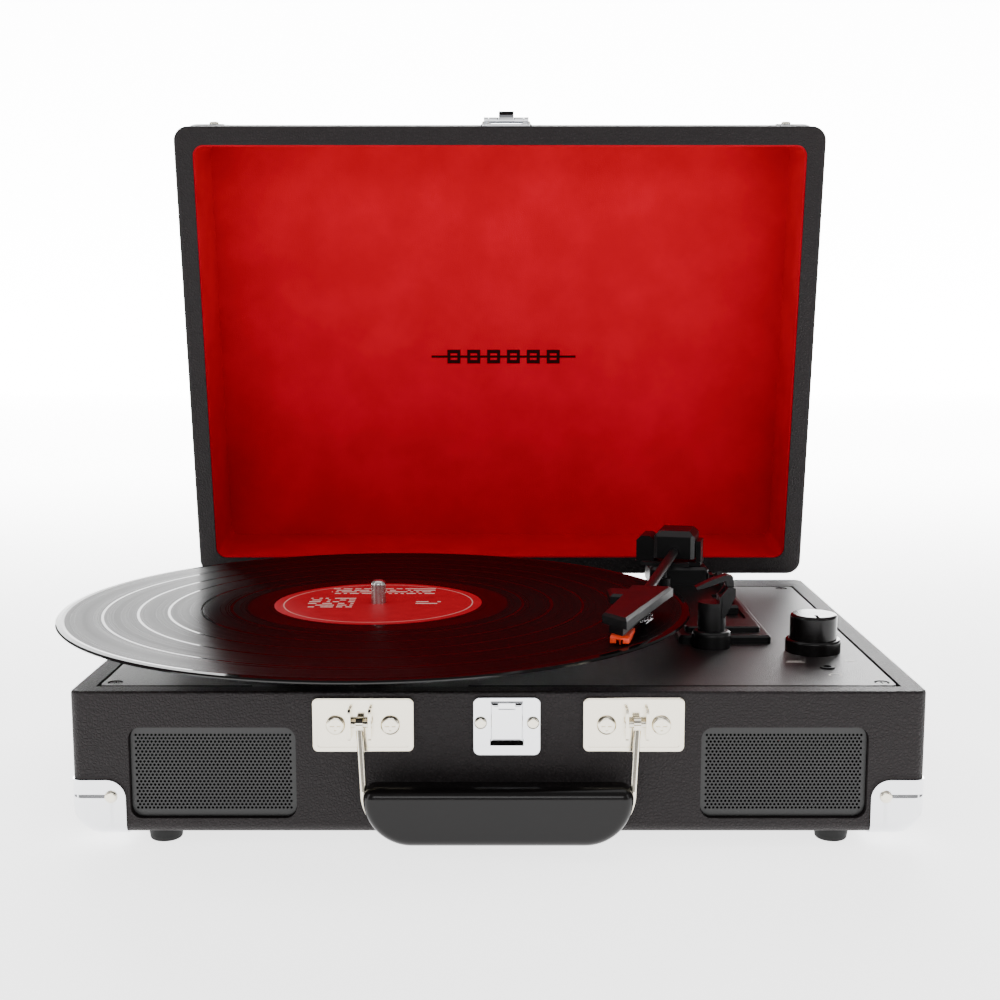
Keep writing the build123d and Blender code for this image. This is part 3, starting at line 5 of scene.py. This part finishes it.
import bpy
import numpy as np
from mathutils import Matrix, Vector


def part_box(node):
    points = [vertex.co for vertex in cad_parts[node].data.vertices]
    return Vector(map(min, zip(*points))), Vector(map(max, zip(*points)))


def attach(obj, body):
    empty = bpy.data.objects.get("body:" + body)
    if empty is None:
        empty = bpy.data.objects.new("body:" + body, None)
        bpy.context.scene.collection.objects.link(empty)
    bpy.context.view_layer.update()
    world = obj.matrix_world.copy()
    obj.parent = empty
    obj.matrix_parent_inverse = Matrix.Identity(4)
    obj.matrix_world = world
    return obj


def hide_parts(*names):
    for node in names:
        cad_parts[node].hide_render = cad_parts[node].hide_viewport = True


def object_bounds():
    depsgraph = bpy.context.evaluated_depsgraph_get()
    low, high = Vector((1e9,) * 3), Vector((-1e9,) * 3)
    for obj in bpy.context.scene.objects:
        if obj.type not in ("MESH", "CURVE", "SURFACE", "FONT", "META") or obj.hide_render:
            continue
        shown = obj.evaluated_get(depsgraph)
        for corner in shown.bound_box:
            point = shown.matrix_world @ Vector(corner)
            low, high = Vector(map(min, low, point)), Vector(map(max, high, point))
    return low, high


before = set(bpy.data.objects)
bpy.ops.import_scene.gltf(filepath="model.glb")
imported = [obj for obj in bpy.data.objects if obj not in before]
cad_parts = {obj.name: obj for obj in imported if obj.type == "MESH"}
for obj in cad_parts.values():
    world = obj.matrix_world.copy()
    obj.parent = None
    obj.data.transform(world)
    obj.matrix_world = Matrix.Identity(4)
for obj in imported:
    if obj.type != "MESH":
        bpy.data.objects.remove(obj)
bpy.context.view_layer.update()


# ---- Case and lid: board boxes covered in black embossed leatherette, glued down and turned over the rims.
# The deck inside the base carries the same covering with a finer grain.
def srgb(code):
    """Hex colour as linear RGBA."""
    parts = [int(code[i : i + 2], 16) / 255 for i in (1, 3, 5)]
    return [c / 12.92 if c <= 0.04045 else ((c + 0.055) / 1.055) ** 2.4 for c in parts] + [1.0]


class Shader:
    """A material being built. Sockets returned by its methods feed the later ones."""

    def __init__(self, name, color, roughness, **inputs):
        self.material = bpy.data.materials.new(name)
        self.material.use_nodes = True
        self.tree = self.material.node_tree
        self.surface = self.tree.nodes["Principled BSDF"]
        self.set(**{"Base Color": color, "Roughness": roughness}, **inputs)
        place = self.node("ShaderNodeTexCoord", out="Object")
        self.mm = self.node("ShaderNodeVectorMath", {0: place, "Scale": 1000.0}, operation="SCALE")

    def set(self, **inputs):
        for key, value in inputs.items():
            self.wire(self.surface.inputs[key.replace("_", " ")], value)

    def wire(self, socket, value):
        if isinstance(value, bpy.types.NodeSocket):
            self.tree.links.new(value, socket)
        else:
            socket.default_value = value

    def node(self, kind, inputs=None, out=0, **settings):
        made = self.tree.nodes.new(kind)
        for key, value in settings.items():
            setattr(made, key, value)
        for key, value in (inputs or {}).items():
            self.wire(made.inputs[key], value)
        return made.outputs[out]

    def math(self, operation, a, b=0.0, c=0.0):
        return self.node("ShaderNodeMath", {0: a, 1: b, 2: c}, operation=operation)

    def axis(self, direction, offset=0.0):
        """Distance in mm along a direction."""
        return self.math("SUBTRACT", self.dot(self.mm, direction), offset)

    def dot(self, vector, direction):
        """Length of a vector along a direction."""
        keys = {0: vector, 1: direction}
        return self.node("ShaderNodeVectorMath", keys, out="Value", operation="DOT_PRODUCT")

    def within(self, value, limit):
        """1 where a value lies between minus and plus the limit, else 0."""
        return self.math("LESS_THAN", self.math("ABSOLUTE", value), limit)

    def cell(self, value, size):
        """Distance from the middle of a repeating cell `size` mm wide, in parts of the cell."""
        part = self.math("FRACT", self.math("DIVIDE", value, size))
        return self.math("ABSOLUTE", self.math("SUBTRACT", part, 0.5))

    def noise(self, size, detail=3.0, stretch=(1.0, 1.0, 1.0)):
        """Noise between 0 and 1 with features of about `size` mm."""
        scale = [s / size for s in stretch]
        spot = self.node("ShaderNodeVectorMath", {0: self.mm, 1: scale}, operation="MULTIPLY")
        return self.node("ShaderNodeTexNoise", {"Vector": spot, "Scale": 1.0, "Detail": detail})

    def ramp(self, value, low, high, to_low=0.0, to_high=1.0):
        """Smooth step of a value from one range to another."""
        keys = {"Value": value, "From Min": low, "From Max": high, "To Min": to_low, "To Max": to_high}
        return self.node("ShaderNodeMapRange", keys, interpolation_type="SMOOTHSTEP")

    def mix(self, factor, a, b):
        made = self.tree.nodes.new("ShaderNodeMix")
        made.data_type = "RGBA"
        for key, value in ((0, factor), (6, a), (7, b)):
            self.wire(made.inputs[key], value)
        return made.outputs[2]

    def bump(self, height, depth, strength=1.0):
        """Normal from a height between 0 and 1 that stands for `depth` mm."""
        keys = {"Height": height, "Distance": depth / 1000, "Strength": strength}
        self.set(Normal=self.node("ShaderNodeBump", keys))


def leatherette(name, dark, light, grain, depth, rough):
    """Embossed covering: rounded pebbles `grain` mm wide with fine creases between them and a faint sheen. The
    creases are painted darker than the pebble tops as painted shade, and a broad noise varies the tone at random.
    """
    s = Shader(name, dark, rough, **{"Specular IOR Level": 0.24})
    drift = s.node("ShaderNodeVectorMath", {0: s.mm, "Scale": 1.0 / grain}, operation="SCALE")
    warp = s.node("ShaderNodeTexNoise", {"Vector": drift, "Scale": 0.7, "Detail": 2.0}, out="Color")
    bent = s.node("ShaderNodeVectorMath", {0: drift, 1: warp}, operation="ADD")
    edge = s.node("ShaderNodeTexVoronoi", {"Vector": bent, "Scale": 1.0}, feature="DISTANCE_TO_EDGE")
    pebble = s.ramp(edge, 0.0, 0.32)
    fine = s.noise(0.35, 2.0)
    broad = s.noise(60.0, 2.0)
    # Painted shade: the creases between pebbles are coloured darker than the pebble tops; the broad noise varies
    # the tone at random.
    tone_and_crease_shade = s.math("MULTIPLY_ADD", broad, 0.45, s.math("MULTIPLY", pebble, 0.55))
    s.set(**{"Base Color": s.mix(tone_and_crease_shade, dark, light)})
    s.set(Roughness=s.math("MULTIPLY_ADD", fine, 0.14, rough - 0.07))
    s.bump(s.math("MULTIPLY_ADD", fine, 0.2, pebble), depth)
    return s.material


def paint(material, *nodes):
    """Gives the CAD nodes a material."""
    for name in nodes:
        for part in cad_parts[name].material_slots:
            part.material = material


case_cover = leatherette("case_leatherette", srgb("#0c0809"), srgb("#1b1415"), 1.5, 0.16, 0.58)
paint(case_cover, "base_case", "lid_shell")
deck_cover = leatherette("deck_leatherette", srgb("#0d0a0a"), srgb("#1c1717"), 0.8, 0.07, 0.42)
paint(deck_cover, "deck_plate")


# ---- Lid lining: red flocked cloth on a thin liner, folded up the lid's four walls and glued.
# A small dark ornament of bars is printed in the middle of its back panel.
LID_OPEN = radians(81.5)
LID_UP = (0.0, -cos(LID_OPEN), sin(LID_OPEN))
LID_HINGE_MM = Vector((0.0, 131.5, 61.8))
ORNAMENT_UP = LID_HINGE_MM.dot(Vector(LID_UP)) + 125.5


def flock():
    """Short-pile cloth: a soft sheen at grazing angles, faint mottling and a pile-deep bump."""
    s = Shader("red_flock", srgb("#c30018"), 0.95, **{"Sheen Weight": 0.12, "Sheen Roughness": 0.5})
    s.set(**{"Sheen Tint": srgb("#ff1030"), "Specular IOR Level": 0.04})
    pile = s.noise(0.4, 2.0)
    mottle = s.noise(26.0, 3.0)
    red = s.mix(s.ramp(mottle, 0.3, 0.75), srgb("#b0001a"), srgb("#bb001e"))
    bar_pitch, bars_half, bar_half_height, rule_half, rule_half_height = 12.0, 36.0, 4.2, 43.5, 0.7
    x = s.axis((1.0, 0.0, 0.0), 2.0)
    up = s.axis(LID_UP, ORNAMENT_UP)
    cell = s.cell(x, bar_pitch)
    bar = s.math("MULTIPLY", s.math("LESS_THAN", cell, 0.33), s.within(up, bar_half_height))
    bar = s.math("MULTIPLY", bar, s.within(x, bars_half))
    hollow = s.math("MULTIPLY", s.math("LESS_THAN", cell, 0.17), s.within(up, 2.0))
    rule = s.math("MULTIPLY", s.within(up, rule_half_height), s.within(x, rule_half))
    print_mask = s.math("MAXIMUM", s.math("SUBTRACT", bar, s.math("MULTIPLY", hollow, bar)), rule)
    s.set(**{"Base Color": s.mix(print_mask, red, srgb("#1d0607"))})
    s.bump(pile, 0.22, 0.8)
    return s.material


paint(flock(), "lid_lining")


# ---- Corner guards, latch and hinges: pressed sheet, bright chrome on the guards and the latch.
# The rivets, handle plates, bail and hinges are a warmer nickel plate.
def plated(name, color, rough, wave, scuff):
    """Bright plating: slow waves of a pressed sheet in the reflections and a little uneven polish."""
    s = Shader(name, color, rough, Metallic=1.0)
    polish = s.noise(3.0, 4.0)
    s.set(Roughness=s.math("MULTIPLY_ADD", polish, scuff, rough - scuff * 0.4))
    s.bump(s.noise(9.0, 1.0), wave)
    return s.material


def pressed_guard(name, origin, axes, reach):
    """Chrome guard with a step pressed round its corner: the raised field starts at `reach` mm, measured
    as the largest of the three distances from the box's faces."""
    s = Shader(name, srgb("#e6e7ea"), 0.10, Metallic=1.0)
    far = 0.0
    for axis, half in axes:
        inward = s.math("SUBTRACT", half, s.math("ABSOLUTE", s.axis(axis, Vector(axis).dot(Vector(origin)))))
        far = s.math("MAXIMUM", far, inward)
    step = s.ramp(far, reach - 1.6, reach + 0.8)
    rim = s.ramp(far, reach + 7.0, reach + 9.0)
    s.set(Roughness=s.math("MULTIPLY_ADD", s.noise(3.0, 4.0), 0.10, 0.08))
    s.bump(s.math("MULTIPLY_ADD", s.noise(9.0, 1.0), 0.25, s.math("SUBTRACT", step, rim)), 0.5)
    return s.material


chrome = plated("bright_chrome", srgb("#e6e7ea"), 0.07, 0.10, 0.06)
nickel = plated("nickel_plate", srgb("#e3dccb"), 0.16, 0.05, 0.10)
steel = plated("turned_steel", srgb("#b9b8b6"), 0.26, 0.02, 0.12)
paint(chrome, "lid_corner_guards", "latch_catch_plate", "catch_button")
case_half = [(high - low) * 500 for low, high in zip(*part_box("base_case"))]
open_side = 200.0  # the guards wrap the bottom only, so the top counts as far away
case_axes = (((1.0, 0.0, 0.0), case_half[0]), ((0.0, 1.0, 0.0), case_half[1]), ((0.0, 0.0, 1.0), open_side))
base_guard = pressed_guard("pressed_chrome_guard", (0.0, 0.0, open_side), case_axes, 8.5)
paint(base_guard, "base_corner_guards")
paint(chrome, "lid_latch_plate", "latch_hasp")
paint(nickel, "case_rivets", "lid_rivets")
paint(nickel, "handle_plates", "handle_plate_screws", "handle_pins", "handle_bail")
paint(nickel, "hinge_base_leaves", "hinge_lid_leaves", "hinge_lid_screws", "rear_screws", "rca_jacks")
paint(steel, "hinge_pins", "hasp_pin", "spindle", "foot_screws", "motor_body", "tonearm_axle", "volume_pot")
paint(steel, "speaker_frames")


# ---- Handle grip: a solid black moulding over the wire bail, polished by the mould.
# Knob: the same glossy plastic, pressed on the potentiometer's shaft.
def moulded(name, color, rough, texture, coat=0.0):
    """Injection-moulded plastic: spark-eroded texture when matte, faint flow marks when polished."""
    s = Shader(name, color, rough, **{"Coat Weight": coat, "Specular IOR Level": 0.22})
    flow = s.noise(14.0, 2.0)
    fine = s.noise(0.18, 2.0)
    s.set(Roughness=s.math("MULTIPLY_ADD", flow, 0.12, rough - 0.06))
    s.bump(s.math("MULTIPLY_ADD", fine, texture, flow), 0.03)
    return s.material


gloss_black = moulded("polished_black_plastic", srgb("#0b0909"), 0.2, 0.1, 0.0)
satin_black = moulded("satin_black_plastic", srgb("#0e0d0e"), 0.36, 0.5)
soft_black = moulded("moulded_rubber", srgb("#161616"), 0.68, 1.0)
paint(gloss_black, "handle_grip", "volume_knob")
paint(soft_black, "rubber_feet", "drive_belt")


# ---- Speaker grilles: thin black sheet punched with staggered holes, set into the front wall.
# Every hole is a real well in the mesh, and the sheet has rounded corners.
def surface(name, points, material, body=None):
    """Smooth quad sheet through an array of points, rows by columns by XYZ."""
    rows, columns = points.shape[:2]
    first = (np.arange(rows - 1)[:, None] * columns + np.arange(columns - 1)).ravel()
    quads = np.stack([first, first + 1, first + columns + 1, first + columns], axis=1)
    mesh = bpy.data.meshes.new(name)
    mesh.from_pydata(points.reshape(-1, 3).tolist(), [], quads.tolist())
    mesh.materials.append(material)
    mesh.shade_smooth()
    made = bpy.data.objects.new(name, mesh)
    bpy.context.scene.collection.objects.link(made)
    if body:
        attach(made, body)
    return made


def joined(name, pieces):
    """One object from several, keeping the first one's material."""
    with bpy.context.temp_override(active_object=pieces[0], selected_editable_objects=pieces):
        bpy.ops.object.join()
    pieces[0].name = name
    return pieces[0]


def punched(name, centre_x, centre_z, face_y):
    """Sheet of hexagonal cells on a staggered lattice. Each cell steps from its edge, at radius
    (pitch / 2) / cos(angle to the nearest flat), to the hole's rim, down the hole and across its floor."""
    width, height, corner, land = GRILLE_W, 0.0388, 0.0047, 0.0022
    pitch, hole, deep, taper, spokes = 0.00166, 0.00056, 0.0007, 0.97, 12
    lattice = np.meshgrid(np.arange(-14, 15), np.arange(-22, 23), indexing="ij")
    row, column = [axis.ravel() for axis in lattice]
    middle_x = (column + (row % 2) / 2) * pitch
    middle_z = row * pitch * sin(radians(60))
    pierced = (np.abs(middle_x) < width / 2 - land) & (np.abs(middle_z) < height / 2 - land)
    turn = np.linspace(0, 2 * np.pi, spokes + 1)
    edge = pitch / 2 / np.cos((turn + np.pi / 6) % (np.pi / 3) - np.pi / 6)
    rim = np.full(spokes + 1, hole)
    radius = np.stack([edge, rim, rim * taper, rim * 0.0])
    x = middle_x[:, None, None] + radius * np.cos(turn)
    z = middle_z[:, None, None] + radius * np.sin(turn)
    y = np.array([0.0, 0.0, deep, deep])[None, :, None] * pierced[:, None, None] + np.zeros(x.shape)
    x = np.clip(x, -width / 2, width / 2)
    over = np.clip(np.abs(x) - (width / 2 - corner), 0, corner)
    reach = height / 2 - corner + np.sqrt(corner**2 - over**2)
    z = np.clip(z, -reach, reach)
    points = np.stack([x + centre_x, y + face_y, z + centre_z], axis=-1).reshape(-1, 3)
    rings = np.meshgrid(np.arange(len(radius) - 1), np.arange(spokes), indexing="ij")
    ring, spoke = [axis.ravel() for axis in rings]
    start = ring * (spokes + 1) + spoke
    quad = np.stack([start, start + 1, start + spokes + 2, start + spokes + 1], axis=1)
    quads = (np.arange(len(row))[:, None, None] * radius.size + quad).reshape(-1, 4)
    mesh = bpy.data.meshes.new(name)
    mesh.from_pydata(points.tolist(), [], quads.tolist())
    mesh.materials.append(grille_black)
    made = bpy.data.objects.new(name, mesh)
    bpy.context.scene.collection.objects.link(made)
    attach(made, "base")
    return made


def sheet_metal():
    """Powder-black punched sheet. Down each hole the colour is painted near-black as painted shade, and the holes
    lose their gloss.
    """
    s = Shader("punched_black_sheet", srgb("#131313"), 0.4, Metallic=0.0)
    depth = s.axis((0.0, 1.0, 0.0), GRILLE_Y * 1000)
    # Painted shade: the colour darkens to near-black down each hole.
    s.set(**{"Base Color": s.mix(s.ramp(depth, 0.05, 0.6), srgb("#131313"), srgb("#010101"))})
    s.set(**{"Roughness": s.ramp(depth, 0.0, 0.5, 0.36, 1.0)})
    s.set(**{"Specular IOR Level": s.ramp(depth, 0.0, 0.5, 0.4, 0.0)})
    return s.material


low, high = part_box("speaker_grilles")
GRILLE_Y = low[1]
GRILLE_W = 0.0694
grille_black = sheet_metal()
grille_middle = (low[2] + high[2]) / 2
grille_x = high[0] - GRILLE_W / 2
sides = [punched("grille_sheet", x, grille_middle, GRILLE_Y) for x in (-grille_x, grille_x)]
grilles = joined("punched_grilles", sides)
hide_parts("speaker_grilles")


# ---- Record: a pressed vinyl disc. Its grooves stretch every reflection across them, towards the rim.
# The smooth bands between tracks and the run-out round the label are brighter.
SPINDLE = tuple((a + b) * 500 for a, b in zip(*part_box("spindle")))


def around_spindle(s):
    """Place on the disc from the spindle, in mm, and its distance from it."""
    centre = (SPINDLE[0], SPINDLE[1], 0.0)
    centred = s.node("ShaderNodeVectorMath", {0: s.mm, 1: centre}, operation="SUBTRACT")
    flat = s.node("ShaderNodeVectorMath", {0: centred, 1: (1.0, 1.0, 0.0)}, operation="MULTIPLY")
    return flat, s.node("ShaderNodeVectorMath", {0: flat}, out="Value", operation="LENGTH")


def vinyl():
    """Black vinyl with groove-aligned anisotropy, ring-to-ring polish changes and clean gaps between tracks.
    A near-black diffuse layer mixed over the surface dims the reflection everywhere; its larger share on the
    grooved bands is painted shade in the grooves."""
    s = Shader("grooved_vinyl", srgb("#070707"), 0.2, **{"Specular IOR Level": 0.5})
    flat, radius = around_spindle(s)
    across = s.node("ShaderNodeVectorMath", {0: (0.0, 0.0, 1.0), 1: flat}, operation="CROSS_PRODUCT")
    along = s.node("ShaderNodeVectorMath", {0: across}, operation="NORMALIZE")
    rings = {
        width: s.node(
            "ShaderNodeTexNoise",
            {"W": s.math("DIVIDE", radius, width), "Scale": 1.0, "Detail": detail},
            noise_dimensions="1D",
        )
        for width, detail in ((0.45, 3.0), (5.0, 2.0))
    }
    fine, broad = rings.values()
    track_gaps, run_out, lead_in = (70.0, 84.0, 99.0, 113.0, 129.0), 62.0, 145.6
    gap = 0.0
    for place in track_gaps:
        off = s.math("ABSOLUTE", s.math("SUBTRACT", radius, place))
        gap = s.math("MAXIMUM", gap, s.ramp(off, 0.35, 0.8, 1.0, 0.0))
    inner = s.ramp(radius, run_out, run_out + 1.0, 1.0, 0.0)
    plain = s.math("MAXIMUM", inner, s.ramp(radius, lead_in, lead_in + 0.8))
    plain = s.math("MAXIMUM", plain, gap)
    grooved = s.math("SUBTRACT", 1.0, plain)
    rough = s.math("MULTIPLY_ADD", broad, 0.10, s.math("MULTIPLY", fine, 0.10))
    s.set(Roughness=s.math("MULTIPLY_ADD", grooved, s.math("ADD", rough, 0.12), 0.07))
    s.set(Anisotropic=s.math("MULTIPLY", grooved, 0.85), Tangent=along)
    wave = s.math("SINE", s.math("MULTIPLY", radius, 6.283 / 0.55))
    s.bump(s.math("MULTIPLY", grooved, s.math("MULTIPLY_ADD", wave, 0.5, fine)), 0.006)
    # Painted shade: a near-black diffuse layer dims the reflection, with a larger share on the grooved bands.
    groove_shade = s.node("ShaderNodeBsdfDiffuse", {"Color": srgb("#0b0808")})
    groove_shade_share = s.math("MULTIPLY_ADD", grooved, 0.16, 0.55)
    both = s.node("ShaderNodeMixShader", {0: groove_shade_share, 1: s.surface.outputs[0], 2: groove_shade})
    s.wire(s.tree.nodes["Material Output"].inputs[0], both)
    return s.material


def label_paper():
    """Uncoated red label: a fine ring near the edge and lines of small generic bars, off-white on red."""
    s = Shader("printed_label", srgb("#b4081a"), 0.55, **{"Specular IOR Level": 0.25})
    flat, radius = around_spindle(s)
    line_pitch, bar_w, ring_r = 4.2, 1.5, 45.5
    x = s.dot(flat, (1.0, 0.0, 0.0))
    y = s.dot(flat, (0.0, 1.0, 0.0))
    row = s.math("FLOOR", s.math("DIVIDE", y, line_pitch))
    stroke = s.math("LESS_THAN", s.cell(y, line_pitch), 0.2)
    seed = s.node("ShaderNodeCombineXYZ", {0: s.math("FLOOR", s.math("DIVIDE", x, bar_w)), 1: row})
    chance = s.node("ShaderNodeTexWhiteNoise", {"Vector": seed}, noise_dimensions="2D")
    words = s.math("MULTIPLY", stroke, s.math("GREATER_THAN", chance, 0.35))
    left = s.math("MULTIPLY", s.math("GREATER_THAN", x, -34.0), s.math("LESS_THAN", x, -12.0))
    block = s.math("MULTIPLY", left, s.within(y, 13.0))
    title = s.math("MULTIPLY", s.within(x, 26.0), s.ramp(y, 20.0, 20.5))
    title = s.math("MULTIPLY", title, s.ramp(y, 36.0, 36.5, 1.0, 0.0))
    right = s.math("MULTIPLY", s.math("GREATER_THAN", x, 18.0), s.math("LESS_THAN", x, 30.0))
    right = s.math("MULTIPLY", right, s.within(y, 4.4))
    area = s.math("MAXIMUM", s.math("MAXIMUM", block, title), right)
    ring = s.ramp(s.math("ABSOLUTE", s.math("SUBTRACT", radius, ring_r)), 0.15, 0.4, 0.55, 0.0)
    ink = s.math("MAXIMUM", s.math("MULTIPLY", words, area), ring)
    red = s.mix(s.noise(8.0, 4.0), srgb("#a30617"), srgb("#c20c20"))
    s.set(**{"Base Color": s.mix(ink, red, srgb("#e9d8cc"))})
    s.bump(s.noise(0.3, 2.0), 0.02, 0.5)
    return s.material


paint(vinyl(), "record_disc")
paint(label_paper(), "record_labels")
paint(satin_black, "platter", "motor_pulley")


# ---- Slip mat: a thin felt disc laid loose on the platter.
def felt():
    """Pressed wool felt: no gloss, short loose fibres."""
    s = Shader("black_felt", srgb("#151414"), 0.95, **{"Sheen Weight": 0.4})
    fibre = s.noise(0.5, 5.0, (1.0, 0.35, 1.0))
    s.set(**{"Base Color": s.mix(fibre, srgb("#0f0e0e"), srgb("#232121"))})
    s.bump(fibre, 0.3)
    return s.material


paint(felt(), "slip_mat")

# ---- Tonearm: satin black mouldings from the pillar to the headshell, with an orange stylus guard.
# Four fine leads run from the arm down to the cartridge's pins.
paint(satin_black, "tonearm_base_plate", "tonearm_pillar", "arm_rest_post", "tonearm_turret", "arm_housing")
paint(satin_black, "tonearm_tube", "headshell", "cartridge", "arm_clip", "cue_lever", "lift_bar")
paint(satin_black, "speed_slider", "autostop_slider", "headphone_jack", "rear_panel", "dc_jack")
paint(satin_black, "board_components", "speaker_cones", "deck_screws")
orange = moulded("orange_guard_plastic", srgb("#e8401c"), 0.3, 0.3, 0.2)
paint(orange, "stylus_guard")
paint(moulded("lacquered_board", srgb("#0f4a2a"), 0.4, 0.3), "amplifier_board")

ARM_AT = Vector((0.1, 0.09, 0.0))
ARM_TURN = radians(13.217)


def on_arm(across, back, z):
    """Row-frame points from distances across and back along the tonearm, in metres."""
    x = ARM_AT.x + across * cos(ARM_TURN) + back * sin(ARM_TURN)
    y = ARM_AT.y - across * sin(ARM_TURN) + back * cos(ARM_TURN)
    return np.stack([x, y, z], axis=-1)


def wire(name, path, radius, material, body):
    """Round wire: a circle carried along a smooth path of points, square to its direction."""
    along = np.gradient(path, axis=0)
    along /= np.linalg.norm(along, axis=1, keepdims=True)
    side = np.cross(along, np.array([0.31, 0.22, 0.93]))
    side /= np.linalg.norm(side, axis=1, keepdims=True)
    up = np.cross(side, along)
    turn = np.linspace(0, 2 * np.pi, 13)[None, :, None]
    ring = path[:, None] + radius * (side[:, None] * np.cos(turn) + up[:, None] * np.sin(turn))
    return surface(name, ring, material, body)


LEAD_START = (0.0042, -0.166, 0.0836)  # across, along and above: where the first lead leaves the arm
LEAD_R = 0.00035
step = np.linspace(0, 1, 28)
leads = []
for k in range(4):
    across = LEAD_START[0] + 0.0011 * k + 0.0012 * np.sin(step * np.pi) * (1 + 0.2 * k)
    back = LEAD_START[1] - 0.0012 * k - 0.018 * step
    z = LEAD_START[2] - 0.0011 * step + 0.0009 * np.sin(step * 2 * np.pi + k)
    leads.append(wire("lead", on_arm(across, back, z), LEAD_R, chrome, "arm"))
joined("cartridge_leads", leads)


# ---- Printed marks on the deck: level ticks beside the knob, and an arc with two ends by the headphone
# socket, all off-white ink.
def ink():
    """Screen-printed off-white, a little rubbed."""
    s = Shader("white_print", srgb("#d9d4cc"), 0.6)
    s.set(**{"Base Color": s.mix(s.ramp(s.noise(0.5, 3.0), 0.45, 0.6), srgb("#d9d4cc"), srgb("#8f8a84"))})
    return s.material


def flat_mark(u0, u1, v0, v1, place):
    """Printed patch a hair above the deck: x and y are place(u, v) over a grid of u and v, z is constant."""
    u, v = np.meshgrid(np.linspace(u0, u1, 24), np.linspace(v0, v1, 4))
    x, y = place(u, v)
    patch = np.stack([x, y, np.full(x.shape, DECK_TOP + 0.00005)], axis=-1)
    return surface("mark", patch, white_print, "base")


def bar_mark(x, y, half, low, high):
    """Rectangle in the deck's plane from x - half to x + half and y + low to y + high."""
    return flat_mark(-half, half, low, high, lambda u, v: (x + u, y + v))


def arch(u, v):
    """Point at angle u and radius v from the socket's mark."""
    return SOCKET_MARK[0] + v * np.cos(u), SOCKET_MARK[1] + v * np.sin(u)


DECK_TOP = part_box("deck_plate")[1][2]
SOCKET_MARK = (0.1466, -0.1010)
white_print = ink()
marks = [bar_mark(x, -0.0760, half, -0.0005, 0.0005) for x, half in ((0.1338, 0.0032), (0.1590, 0.0022))]
marks.append(bar_mark(0.1338, -0.0779, 0.0042, -0.0004, 0.0004))
marks.append(flat_mark(0.0, np.pi, 0.0021, 0.0027, arch))
for end in (-0.0024, 0.0024):
    marks.append(bar_mark(SOCKET_MARK[0] + end, SOCKET_MARK[1], 0.0006, -0.0010, 0.0006))
joined("deck_print", marks)


# ---- Studio: a white floor that runs up to a lit white backdrop, one large soft light overhead, two side
# panels and a front fill. Floor and backdrop glow as if they had lamps of their own.
def white_cloth(name, near_glow, far_glow):
    """Matt white. Its glow rises from dark behind the camera to `near_glow`, then adds `far_glow` at the back."""
    s = Shader(name, srgb("#f0f0f0"), 0.9, **{"Specular IOR Level": 0.0})
    back = s.axis((0.0, 1.0, 0.0))
    front_part = s.ramp(back, -900.0, -600.0, 0.1, near_glow)
    glow = s.math("ADD", front_part, s.ramp(back, 50.0, 1500.0, 0.0, far_glow))
    s.set(**{"Emission Color": (1.0, 1.0, 1.0, 1.0), "Emission Strength": glow})
    return s.material


bpy.ops.mesh.primitive_plane_add(size=8, location=(0, 0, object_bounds()[0][2]))
floor = bpy.context.object
floor.data.materials.append(white_cloth("white_floor", 2.6, 7.5))
across, height = np.meshgrid(np.linspace(-2.4, 2.4, 2), np.linspace(-0.1, 4.0, 2))
sheet = np.stack([across, np.full((2, 2), 3.9), height], axis=-1)
backdrop = surface("backdrop", sheet, floor.data.materials[0])

world = bpy.data.worlds.new("studio")
bpy.context.scene.world = world
world.use_nodes = True
world.node_tree.nodes["Background"].inputs[0].default_value = (1, 1, 1, 1)
world.node_tree.nodes["Background"].inputs[1].default_value = 0.4


def panel(name, place, target, width, height, power):
    """Rectangular soft light aimed at a point."""
    light = bpy.data.lights.new(name, "AREA")
    light.shape = "RECTANGLE"
    light.size = width
    light.size_y = height
    light.energy = power
    lamp = bpy.data.objects.new(name, light)
    lamp.location = place
    lamp.rotation_euler = (Vector(target) - Vector(place)).to_track_quat("-Z", "Y").to_euler()
    bpy.context.scene.collection.objects.link(lamp)


panel("overhead", (0.0, -0.02, 1.5), (0, 0.0, 0.0), 2.0, 0.9, 9)
panel("left", (-1.5, -0.7, 0.6), (0, 0, 0.1), 0.4, 1.2, 6)
panel("right", (1.5, -0.9, 0.6), (0, 0, 0.1), 0.4, 1.2, 5)
panel("front", (0.0, -1.8, 0.8), (0, 0, 0.08), 1.0, 0.4, 7.5)

CAMERA_PITCH = 7.93  # degrees below level
camera = bpy.data.objects.new("camera", bpy.data.cameras.new("camera"))
camera.location = (0.0024, -0.7012, 0.21435)
camera.rotation_euler = (radians(90 - CAMERA_PITCH), 0, 0)
camera.data.lens = 50.9
camera.data.sensor_width = 36
camera.data.shift_x = -0.0042
camera.data.shift_y = 0.01745
camera.data.clip_start = 0.01
bpy.context.scene.collection.objects.link(camera)
bpy.context.scene.camera = camera
